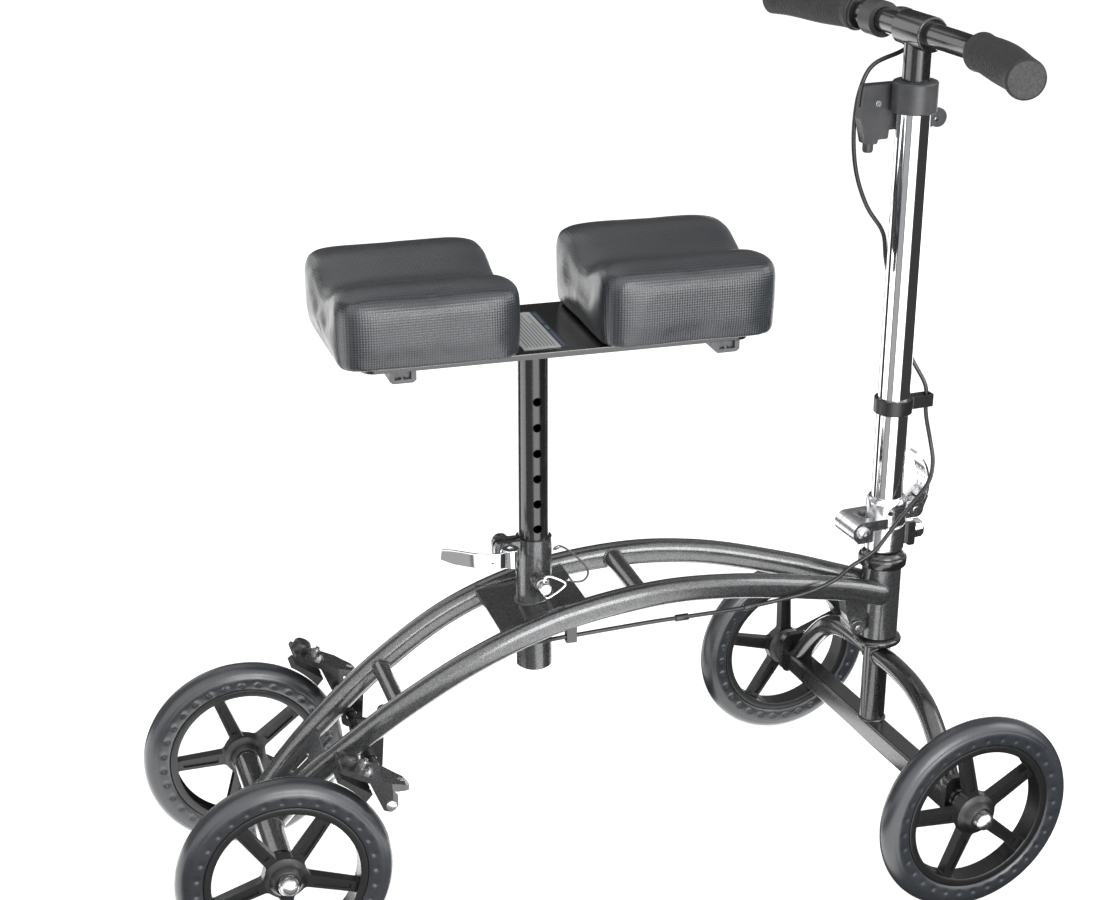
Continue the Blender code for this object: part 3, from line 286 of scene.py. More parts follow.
def make_flat(name, col, rough, metal=0.0, amount=0.15, scale=300):
    n = Nodes(name)
    n.set(Metallic=metal)
    c = n.mix(n.noise(scale, 3, 0.6), tuple(v * (1 - amount) for v in col), tuple(v * (1 + amount) for v in col))
    r = n.maprange(n.noise(scale * 2, 3, 0.6), 0.3, 0.8, max(rough - 0.05, 0.02), rough + 0.07)
    return n.out(c, r, n.bump(n.noise(scale * 4, 2, 0.6), 0.1, 0.0002))


VEIN = make_vein("silver_vein_paint", 1.0)
# a copy of the silver-vein paint at 0.42 brightness; the darkening is painted shade on the fork parts
VEIN_PAINTED_SHADE = make_vein("vein_paint_painted_shade", 0.42)
BRAKEPT = make_gloss_black("brake_paint", 0.030, 0.26, 0.35)
BLACK = make_gloss_black()
CHROME = make_chrome()
CAST = make_cast_chrome()
ZINC = make_zinc()
RIM = make_plastic("moulded_rim", (0.011, 0.011, 0.0115), 0.40)
GREYPL = make_plastic("dark_grey_plastic", (0.060, 0.061, 0.064), 0.42)
BLACKPL = make_plastic("black_plastic", (0.014, 0.014, 0.015), 0.36)
BRACKET = make_plastic("bracket_grey", (0.13, 0.132, 0.138), 0.45)
TYRE = make_tyre()
VINYL = make_vinyl()
RUBBER = make_rubber()
GRIP = make_rubber("grip_rubber", 0.022)
LABEL = make_label()
BAND = make_flat("sticker_band", (0.035, 0.055, 0.095), 0.35)
INK = make_flat("sticker_ink", (0.16, 0.17, 0.19), 0.40)
GREEN = make_flat("sticker_green", (0.20, 0.32, 0.22), 0.40)
CABLE = make_flat("cable_housing", (0.020, 0.020, 0.021), 0.34)
WIRE = make_flat("coated_wire", (0.10, 0.10, 0.105), 0.25, 0.3)
SEAM = make_flat("seam_thread", (0.05, 0.053, 0.058), 0.6)
BOARD = make_flat("pad_board", (0.03, 0.03, 0.03), 0.7)
DARK = make_flat("dark_inside", (0.008, 0.008, 0.008), 0.8)
STEEL = make_flat("bolt_steel", (0.50, 0.50, 0.51), 0.28, 1.0)

# =====================================================================
#  mesh helpers
# =====================================================================
def basis(axis):
    a = Vector(axis).normalized()
    t = Vector((0, 0, 1)) if abs(a.z) < 0.9 else Vector((1, 0, 0))
    u = t.cross(a).normalized()
    return a, u, a.cross(u).normalized()

def ring(c, u, v, ru, rv, n, phase=0.0):
    return [c + u * ru * math.cos(phase + 2 * math.pi * i / n) + v * rv * math.sin(phase + 2 * math.pi * i / n) for i in range(n)]

def loft(bm, rings, close=False, caps=True):
    vs = [[bm.verts.new(p) for p in r] for r in rings]
    n = len(vs[0])
    last = len(vs) if close else len(vs) - 1
    for k in range(last):
        a, b = vs[k], vs[(k + 1) % len(vs)]
        for i in range(n):
            j = (i + 1) % n
            bm.faces.new((a[i], a[j], b[j], b[i]))
    if caps and not close:
        bm.faces.new(vs[0][::-1])
        bm.faces.new(vs[-1])
    return vs

def rod(p0, p1, r, n=40, r2=None, cham=0.0):
    bm = bmesh.new()
    p0, p1 = Vector(p0), Vector(p1)
    a, u, v = basis(p1 - p0)
    r2 = r if r2 is None else r2
    if cham:
        c = cham
        rs = [(p0, r - c), (p0 + a * c * 0.3, r - c * 0.3), (p0 + a * c, r), (p1 - a * c, r2), (p1 - a * c * 0.3, r2 - c * 0.3), (p1, r2 - c)]
    else:
        rs = [(p0, r), (p1, r2)]
    loft(bm, [ring(c, u, v, q, q, n, 0.031) for c, q in rs])
    return bm

def lathe(profile, centre=(0, 0, 0), axis=(0, 0, 1), n=56, phase=0.0):
    bm = bmesh.new()
    a, u, v = basis(axis)
    c = Vector(centre)
    solid = profile[0][0] == 0 and profile[-1][0] == 0
    pts = profile[1:-1] if solid else profile
    vs = loft(bm, [ring(c + a * h, u, v, r, r, n, phase) for r, h in pts], close=not solid, caps=False)
    if solid:
        for row, (r, h), flip in ((vs[0], profile[0], True), (vs[-1], profile[-1], False)):
            p = bm.verts.new(c + a * h)
            for i in range(n):
                j = (i + 1) % n
                bm.faces.new((row[j], row[i], p) if flip else (row[i], row[j], p))
    return bm

def tube(p0, p1, ro, ri, n=48):
    p0, p1 = Vector(p0), Vector(p1)
    h = (p1 - p0).length
    return lathe([(ri, 0), (ro, 0), (ro, h), (ri, h)], p0, p1 - p0, n, 0.05)

def box(lo, hi, tilt=None):
    bm = bmesh.new()
    lo, hi = Vector(lo), Vector(hi)
    bmesh.ops.create_cube(bm, size=1.0)
    for v in bm.verts:
        v.co = Vector(((v.co.x + 0.5) * (hi.x - lo.x) + lo.x, (v.co.y + 0.5) * (hi.y - lo.y) + lo.y, (v.co.z + 0.5) * (hi.z - lo.z) + lo.z))
    if tilt:
        ang, ax, piv = tilt
        bmesh.ops.rotate(bm, verts=bm.verts, cent=Vector(piv), matrix=Matrix.Rotation(math.radians(ang), 3, ax))
    return bm

def prism(outline, y0, y1, plane='XZ'):
    bm = bmesh.new()
    def P(a, b, h):
        return Vector((a, h, b)) if plane == 'XZ' else Vector((a, b, h)) if plane == 'XY' else Vector((h, a, b))
    lo = [bm.verts.new(P(a, b, y0)) for a, b in outline]
    hi = [bm.verts.new(P(a, b, y1)) for a, b in outline]
    n = len(outline)
    bm.faces.new(lo)
    bm.faces.new(hi[::-1])
    for i in range(n):
        j = (i + 1) % n
        bm.faces.new((lo[j], lo[i], hi[i], hi[j]))
    return bm

def rounded(cx, cz, hx, hz, r, n=8):
    pts = []
    for sx, sz, a0 in ((1, 1, 0), (-1, 1, 90), (-1, -1, 180), (1, -1, 270)):
        for k in range(n + 1):
            a = math.radians(a0 + 90.0 * k / n)
            pts.append((cx + sx * (hx - r) + r * math.cos(a), cz + sz * (hz - r) + r * math.sin(a)))
    return pts

def fillet(points, radii, n=6):
    """Polygon with its corners rounded; radii is one number or one per corner."""
    out = []
    m = len(points)
    for i in range(m):
        p = Vector(points[i]); a = Vector(points[i - 1]); b = Vector(points[(i + 1) % m])
        r = radii[i] if isinstance(radii, (list, tuple)) else radii
        da, db = (a - p), (b - p)
        la, lb = da.length, db.length
        if r <= 0 or la < 1e-6 or lb < 1e-6:
            out.append((p.x, p.y)); continue
        da.normalize(); db.normalize()
        ang = math.acos(max(-1, min(1, da.dot(db))))
        if ang > math.radians(176):
            out.append((p.x, p.y)); continue
        t = min(r / math.tan(ang / 2), la * 0.49, lb * 0.49)
        p0, p1 = p + da * t, p + db * t
        for k in range(n + 1):
            s = k / n
            q = p0 * (1 - s) ** 2 + p * 2 * s * (1 - s) + p1 * s ** 2
            out.append((q.x, q.y))
    return out

def spline(points, count, closed=False):
    P = [Vector(p) for p in points]
    dense = []
    segs = len(P) if closed else len(P) - 1
    for k in range(segs):
        if closed:
            a, b, c, d = P[k - 1], P[k], P[(k + 1) % len(P)], P[(k + 2) % len(P)]
        else:
            b, c = P[k], P[k + 1]
            a = P[k - 1] if k > 0 else b * 2 - c
            d = P[k + 2] if k + 2 < len(P) else c * 2 - b
        for i in range(16):
            t = i / 16.0
            dense.append(0.5 * ((2 * b) + (c - a) * t + (2 * a - 5 * b + 4 * c - d) * t * t + (3 * b - a - 3 * c + d) * t ** 3))
    dense.append(P[0].copy() if closed else P[-1].copy())
    L = [0.0]
    for i in range(1, len(dense)):
        L.append(L[-1] + (dense[i] - dense[i - 1]).length)
    out = []
    k = 0
    for i in range(count):
        s = L[-1] * i / (count if closed else count - 1)
        while k < len(L) - 2 and L[k + 1] < s:
            k += 1
        f = (s - L[k]) / max(L[k + 1] - L[k], 1e-9)
        out.append(dense[k].lerp(dense[k + 1], min(max(f, 0), 1)))
    return out

def smooth_path(path, times=2):
    p = [Vector(q) for q in path]
    for _ in range(times):
        p = [p[0]] + [(p[i - 1] + p[i] * 2 + p[i + 1]) * 0.25 for i in range(1, len(p) - 1)] + [p[-1]]
    return p

def sweep(path, ru, rv=None, n=20, side=(0, 1, 0), closed=False, shape=None, caps=True):
    """Carry a section along a path. shape(angle) -> (a, b) overrides the oval."""
    rv = ru if rv is None else rv
    bm = bmesh.new()
    rings_ = []
    m = len(path)
    for i, p in enumerate(path):
        if closed:
            t = path[(i + 1) % m] - path[i - 1]
        else:
            t = path[min(i + 1, m - 1)] - path[max(i - 1, 0)]
        t = t.normalized()
        s = Vector(side)
        s = s - t * s.dot(t)
        if s.length < 1e-4:
            s = t.orthogonal()
        s.normalize()
        up = t.cross(s)
        a = ru[i] if isinstance(ru, list) else ru
        b = rv[i] if isinstance(rv, list) else rv
        if shape:
            rings_.append([p + s * x * a + up * y * b for x, y in shape])
        else:
            rings_.append(ring(p, s, up, a, b, n))
    loft(bm, rings_, close=closed, caps=caps)
    return bm

def superoval(n=40, e=2.6):
    out = []
    for i in range(n):
        a = 2 * math.pi * i / n
        c, s = math.cos(a), math.sin(a)
        out.append((math.copysign(abs(c) ** (2 / e), c), math.copysign(abs(s) ** (2 / e), s)))
    return out

def bead(path, r=1.5, closed=True, n=8, ripple=0.16, every=2.1):
    """Weld bead: a rippled round strip along a path."""
    pts = [Vector(p) for p in path]
    m = len(pts)
    L = sum((pts[(i + 1) % m] - pts[i]).length for i in range(m if closed else m - 1))
    count = max(int(L / 0.7), 12)
    q = spline(pts, count, closed)
    radii = [r * (1 + ripple * math.sin(2 * math.pi * i * (L / count) / every)) for i in range(len(q))]
    return sweep(q, radii, radii, n, side=(0.31, 0.27, 0.91), closed=closed)

_tmp = []
def raw(bm):
    bmesh.ops.remove_doubles(bm, verts=bm.verts, dist=1e-5)
    bmesh.ops.recalc_face_normals(bm, faces=bm.faces)
    me = bpy.data.meshes.new("raw")
    bm.to_mesh(me)
    bm.free()
    ob = bpy.data.objects.new("raw", me)
    bpy.context.scene.collection.objects.link(ob)
    return ob

def piece(name, body, material, shapes, cuts=(), bev=0.0, seg=2, space="F", rep=(), ang=32.0, smooth=38.0, subsurf=0, tri=False):
    """Join shapes, take away cuts, round the edges and put the result on a body."""
    shapes = list(shapes) if isinstance(shapes, (list, tuple)) else [shapes]
    base = raw(shapes[0])
    others = []
    for bm in shapes[1:]:
        o = raw(bm)
        others.append(o)
        m = base.modifiers.new("u", 'BOOLEAN')
        m.operation, m.solver, m.object = 'UNION', 'EXACT', o
    for bm in cuts:
        o = raw(bm)
        others.append(o)
        m = base.modifiers.new("d", 'BOOLEAN')
        m.operation, m.solver, m.object = 'DIFFERENCE', 'EXACT', o
    if bev:
        m = base.modifiers.new("b", 'BEVEL')
        m.width, m.segments, m.limit_method, m.angle_limit = bev, seg, 'ANGLE', math.radians(ang)
        m.harden_normals = False
        m.use_clamp_overlap = True
        m.miter_outer = 'MITER_ARC'
    if subsurf:
        m = base.modifiers.new("s", 'SUBSURF')
        m.levels = m.render_levels = subsurf
    dg = bpy.context.evaluated_depsgraph_get()
    dg.update()
    me = bpy.data.meshes.new_from_object(base.evaluated_get(dg))
    for o in others + [base]:
        d = o.data
        bpy.data.objects.remove(o)
        bpy.data.meshes.remove(d)
    me.transform(SPACES[space])
    me.name = name
    me.materials.clear()
    me.materials.append(material)
    me.shade_smooth()
    me.set_sharp_from_angle(angle=math.radians(smooth))
    ob = bpy.data.objects.new(name, me)
    bpy.context.scene.collection.objects.link(ob)
    if bev:
        w = ob.modifiers.new("wn", 'WEIGHTED_NORMAL')
        w.keep_sharp = True
        w.weight = 80
    if body:
        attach(ob, body)
    if rep:
        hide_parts(*rep)
    return ob

# =====================================================================
#  FRAME
# =====================================================================
RAIL_STATIONS = [(2.0, 26.0, 101.0), (36.0, 32.5, 141.0), (70.0, 39.5, 172.0), (130.0, 48.5, 219.0),
                 (200.0, 54.5, 261.0), (280.0, 53.5, 289.5), (370.0, 49.0, 301.0),
                 (450.0, 42.5, 296.0), (530.0, 30.0, 279.0), (585.0, 18.5, 264.0), (619.0, 14.5, 253.0)]
RAIL_A, RAIL_B = 10.0, 12.0
POST_X, PIN_Z = 268.0, 315.0
HEAD_R = 19.5

def rail_path(side, n=150):
    return smooth_path(spline([(x, side * y, z) for x, y, z in RAIL_STATIONS], n), 3)

def rail_at(side, x):
    p = rail_path(side, 220)
    return min(p, key=lambda q: abs(q.x - x))

def axle_cut(r=13.1):
    return rod((0, -80, 100), (0, 80, 100), r, 48)

def head_cut(r=HEAD_R + 0.05):
    return rod((STEER_X, 0, 120), (STEER_X, 0, 340), r, 56)

OVAL = superoval(44, 2.25)
for tag, s in (("left", 1), ("right", -1)):
    full = rail_path(s)
    ahead = (full[-1] - full[-4]).normalized()
    # the tube's front end is closed to a rounded nose beside the head tube
    tail = [(2.5, 0.985), (5.0, 0.94), (7.2, 0.86), (9.0, 0.74), (10.3, 0.58), (11.1, 0.38), (11.5, 0.16)]
    path_r = full + [full[-1] + ahead * d_ for d_, k_ in tail]
    ra = [RAIL_A] * len(full) + [RAIL_A * k_ for d_, k_ in tail]
    rb = [RAIL_B] * len(full) + [RAIL_B * k_ for d_, k_ in tail]
    piece("rail_tube_" + tag, "frame", VEIN, [sweep(path_r, ra, rb, shape=OVAL)], [axle_cut(), head_cut()],
          rep=["frame_rail_" + tag])
    path = rail_path(s, 150)
    # bead round the rear end, on the axle housing
    p, q = path[8], path[0]
    t = (q - p).normalized()
    sd = Vector((0, 1, 0)); sd = (sd - t * sd.dot(t)).normalized(); up = t.cross(sd)
    loop = []
    for cx, cy in superoval(28, 2.25):
        o = p + sd * cx * RAIL_A + up * cy * RAIL_B
        best = None
        for k in range(120):
            w = o + t * (k * 0.4)
            if Vector((w.x, w.z - 100)).length <= 13.3:
                best = w
                break
        if best is None:
            w = o + t * 14
            rr = Vector((w.x, w.z - 100)).normalized() * 13.2
            best = Vector((rr.x, w.y, 100 + rr.y))
        loop.append(best)
    piece("weld_rear_" + tag, "frame", VEIN, [bead(loop, 1.6)])

def cross_tube(name, x, z, r, node):
    y = rail_at(1, x).y
    piece(name, "frame", VEIN, [rod((x, -(y - 4), z), (x, y - 4, z), r, 44)], rep=[node])
    for s in (1, -1):
        ring_pts = []
        for k in range(24):
            a = 2 * math.pi * k / 24
            dz, dx = r * math.sin(a), r * math.cos(a)
            zz = z + dz
            rz = rail_at(1, x + dx).z
            f = max(1 - ((zz - rz) / RAIL_B) ** 2, 0.02) ** 0.5
            ring_pts.append((x + dx * 1.02, s * (rail_at(1, x + dx).y - RAIL_A * f - 0.2), zz))
        piece("weld_%s_%s" % (name, "l" if s > 0 else "r"), "frame", VEIN, [bead(ring_pts, 1.3)])
cross_tube("tie_tube_front", 360.0, 300.0, 9.0, "cross_tube_front")
cross_tube("tie_tube_rear", 126.0, 216.0, 8.0, "cross_tube_rear")

# sloping plate with the post sleeve
gy = [(x, rail_at(1, x).y - 7.5) for x in range(222, 316, 8)]
outl = [(x, y) for x, y in gy] + [(x, -y) for x, y in reversed(gy)]
gp = prism(fillet(outl, [3 if i in (0, len(gy) - 1, len(gy), len(outl) - 1) else 0 for i in range(len(outl))]), 285.5, 290.5, plane='XY')
bmesh.ops.rotate(gp, verts=gp.verts, cent=Vector((POST_X, 0, 288)), matrix=Matrix.Rotation(math.radians(-11.0), 3, 'Y'))
piece("post_plate", "frame", VEIN, [gp], [rod((POST_X, 0, 240), (POST_X, 0, 340), 16.9, 48)], bev=0.7, rep=["seat_gusset"])
for s in (1, -1):
    w = []
    for x in range(224, 312, 6):
        y = rail_at(1, x).y
        z = 288 + (x - POST_X) * math.tan(math.radians(11.0)) + 3.4
        rz = rail_at(1, x).z
        f = max(1 - ((z - rz) / RAIL_B) ** 2, 0.05) ** 0.5
        w.append((x, s * (y - RAIL_A * f - 0.1), z))
    piece("weld_plate_%s" % ("l" if s > 0 else "r"), "frame", VEIN, [bead(w, 1.5, closed=False)])
wr = []
for k in range(30):
    a = 2 * math.pi * k / 30
    x = POST_X + 17.2 * math.cos(a)
    wr.append((x, 17.2 * math.sin(a), 290.8 + (x - POST_X) * math.tan(math.radians(11.0))))
piece("weld_sleeve", "frame", VEIN, [bead(wr, 1.5)])

EAR_X, EAR_Z = 240.0, 343.0
ears = [prism(fillet([(228.5, 334), (228.5, 352), (258, 352), (258, 334)], [6, 6, 0, 0]), a, b) for a, b in ((1.8, 7.8), (-7.8, -1.8))]
piece("sleeve_tube", "frame", VEIN,
      [tube((POST_X, 0, 221), (POST_X, 0, 353), 17.0, 14.8, 56)] + ears +
      [lathe([(0, 0), (8.0, 0), (8.0, 10.4), (7.2, 11.7), (0, 11.9)], (POST_X, -15.6, PIN_Z), (0, -1, 0), 36)],
      [box((220, -1.6, 318), (POST_X - 5, 1.6, 360)), rod((POST_X - 12, -4, 318), (POST_X - 12, 4, 318), 3.2, 24),
       rod((EAR_X, -20, EAR_Z), (EAR_X, 20, EAR_Z), 3.4, 24), rod((POST_X, 0, 215), (POST_X, 0, 360), 14.75, 56),
       rod((POST_X, -32, PIN_Z), (POST_X, -5, PIN_Z), 4.3, 28)],
      bev=0.5, rep=["post_sleeve"])

# clamp bolt: black knob outside, bright washer behind it
piece("clamp_knob", "frame", BLACKPL, [lathe([(0, 0), (6.2, 0), (8.6, 1.6), (8.9, 6.0), (8.2, 9.4), (5.6, 11.6), (0, 12.4)], (EAR_X, 9.3, EAR_Z), (0, 1, 0), 40)],
      [rod((EAR_X + 8.9 * math.cos(a), 5, EAR_Z + 8.9 * math.sin(a)), (EAR_X + 8.9 * math.cos(a), 24, EAR_Z + 8.9 * math.sin(a)), 1.2, 12)
       for a in [2 * math.pi * k / 8 for k in range(8)]], bev=0.3)
piece("clamp_bolt", "frame", CHROME, [rod((EAR_X, -12.0, EAR_Z), (EAR_X, 12.0, EAR_Z), 3.0, 28),
      rod((EAR_X, 7.9, EAR_Z), (EAR_X, 9.4, EAR_Z), 7.8, 36), rod((EAR_X, -9.6, EAR_Z), (EAR_X, -7.9, EAR_Z), 7.2, 36)],
      bev=0.3, rep=["seat_clamp_bolt"])

# head tube and cups
piece("head_barrel", "frame", VEIN, [lathe([(16.5, 0), (18.8, 0), (19.5, 0.8), (19.5, 76.2), (18.8, 77), (16.5, 77)], (STEER_X, 0, 202), (0, 0, 1), 64)], rep=["head_tube"])
piece("cup_top", "frame", BLACK, [lathe([(13.3, 0), (21.0, 0), (23.2, 0.6), (24.0, 2.0), (24.0, 8.6), (23.2, 10.2), (21.4, 11.2), (21.0, 12.2), (20.2, 13.6), (17.6, 15.6), (16.4, 16.3), (13.3, 16.3)],
      (STEER_X, 0, 279.4), (0, 0, 1), 64)], rep=["headset_cup_upper"])
piece("cup_low", "frame", BLACK, [lathe([(13.3, 0), (20.2, 0), (21.4, 0.8), (23.4, 2.0), (24.0, 3.2), (24.0, 5.8), (22.8, 7.6), (21.0, 8.3), (13.3, 8.3)],
      (STEER_X, 0, 193.3), (0, 0, 1), 64)], rep=["headset_cup_lower"])

piece("head_lug", "frame", VEIN, [prism(fillet([(586, 249), (610.5, 243), (610.5, 211), (603, 208), (595, 214), (589, 230)], [2, 1, 2, 4, 5, 6]), -9.0, 9.0),
      rod((600, -13.5, 217), (600, 13.5, 217), 8.0, 36, cham=1.2)], [rod((600, -24, 217), (600, 24, 217), 3.2, 24)], bev=1.0)
piece("head_lug_bolt", "frame", STEEL, [rod((600, -14.4, 217), (600, 14.4, 217), 3.0, 24, cham=0.4)])
# rear plate with slot, axle housing, axle
def slope(bm, ang=-44.0, org=(-4.0, 0, 104.0)):
    bmesh.ops.rotate(bm, verts=bm.verts, cent=Vector((0, 0, 0)), matrix=Matrix.Rotation(math.radians(ang), 3, 'Y'))
    bmesh.ops.translate(bm, verts=bm.verts, vec=Vector(org))
    return bm
piece("rear_plate", "frame", VEIN, [slope(prism(fillet([(20, -19.5), (88, -31.5), (88, 31.5), (20, 19.5)], 2), -2, 2, plane='XY'))],
      [slope(prism(rounded(58, 0, 13, 4.0, 3.95, 8), -6, 6, plane='XY'))], bev=0.6, rep=["rear_gusset"])
piece("axle_housing", "frame", VEIN, [tube((0, -94, 100), (0, 94, 100), 13.0, 6.6, 52)], bev=0.8, rep=["rear_axle_tube"])
dome = [(0, 0), (9.0, 0), (9.4, 0.6), (9.4, 4.6), (8.8, 6.0), (7.4, 8.4), (5.0, 10.4), (2.4, 11.5), (0, 11.8)]
ax = [rod((0, -137, 100), (0, 137, 100), 6.0, 32)]
for s in (1, -1):
    ax.append(lathe(dome, (0, s * 133.2, 100), (0, s, 0), 40))
    ax.append(rod((0, s * 94.5, 100), (0, s * 100.7, 100), 9.5, 36, cham=0.8))
piece("axle_rod", "frame", ZINC, ax, rep=["rear_axle"])

piece("plate_lug", "frame", VEIN, [slope(prism(fillet([(84, -8), (101, -6.5), (101, 6.5), (84, 8)], [0, 5, 5, 0]), -1.8, 1.8, plane='XY'))], [slope(rod((95.5, 0, -6), (95.5, 0, 6), 2.4, 20))], bev=0.5)
BRAKE_X, BRAKE_Z = 97.0, 165.0
for tag, s in (("left", 1), ("right", -1)):
    piece("hanger_" + tag, "frame", BLACK, [prism(fillet([(87, 157), (92, 153.5), (102, 153.5), (107, 158), (110, 200), (86, 189)], [4, 3, 3, 4, 0, 0]), s * 46 - 2.0, s * 46 + 2.0)],
          [rod((BRAKE_X, s * 46 - 6, BRAKE_Z), (BRAKE_X, s * 46 + 6, BRAKE_Z), 5.4, 28)], bev=0.5, rep=["brake_hanger_" + tag])
piece("cable_guide", "frame", BLACK, [prism(fillet([(-56, 264), (-48, 264), (-48, 284), (-56, 284)], 1.5), 284, 294, plane='YZ')],
      [rod((270, -52, 269.0), (308, -52, 270.8), 3.0, 20)], bev=0.4, rep=["cable_stop"])

# =====================================================================
#  SEAT
# =====================================================================
holes = [rod((POST_X, -25, PIN_Z - 25 + 25 * k), (POST_X, -6, PIN_Z - 25 + 25 * k), 4.2, 28) for k in range(9)]
piece("post_tube", "seat", BLACK, [tube((POST_X, 0, 219), (POST_X, 0, 550), 14.3, 12.3, 64)], holes, bev=0.25, ang=50, rep=["seat_post"])
piece("post_flange", "seat", BLACK, [prism(rounded(POST_X, 0, 30, 26, 6, 6), 546.2, 549.9, plane='XY')], [rod((POST_X, 0, 530), (POST_X, 0, 560), 14.2, 40)], bev=0.5)
fw = [(POST_X + 14.8 * math.cos(a), 14.8 * math.sin(a), 545.4) for a in [2 * math.pi * k / 24 for k in range(24)]]
piece("weld_flange", "seat", BLACK, [bead(fw, 1.5)])
piece("seat_bar", "seat", BLACK, [prism(rounded(274, 0, 176, 70, 12, 8), 550.3, 556.0, plane='XY')], bev=0.9, rep=["seat_plate"])
for i, (x, y) in enumerate(((246, 18), (290, 18), (246, -18), (290, -18))):
    piece("flange_bolt_%d" % i, "seat", STEEL, [lathe([(0, 0), (5.0, 0), (4.8, 1.8), (3.2, 3.2), (0, 3.6)], (x, y, 546.3), (0, 0, -1), 6)], bev=0.4)
piece("sticker", "seat", LABEL, [prism(rounded(260.0, -8, 17.0, 52, 1.5, 4), 556.3, 556.62, plane='XY')], rep=["seat_label"])
piece("sticker_edge_band", "seat", BAND, [prism(rounded(280.2, -8, 3.2, 52, 0.8, 3), 556.3, 556.64, plane='XY')])
for i, (y0, y1) in enumerate(((-56, -14), (-10, 2), (8, 38))):
    piece("sticker_block_%d" % i, "seat", GREEN if i == 1 else INK, [prism([(279.0, y0), (281.4, y0), (281.4, y1), (279.0, y1)], 556.62, 556.70, plane='XY')])
for i in range(9):
    x = 247.5 + i * 3.1
    y1 = (36, 30, 34, 20, 36, 31, 35, 12, 33)[i]
    piece("sticker_rule_%d" % i, "seat", INK, [prism([(x, -54), (x + 0.8, -54), (x + 0.8, y1), (x, y1)], 556.60, 556.68, plane='XY')])

# ---- pads: contoured foam under vinyl
PAD_HALF = 87.0
def pad_top(y, mid, top):
    t = abs(y + 6.0) / PAD_HALF
    k = 0.5 - 0.5 * math.cos(math.pi * min(t / 0.60, 1.0))
    near = 1.5 if y < 0 else 0.0
    return mid + (top - near - mid) * k

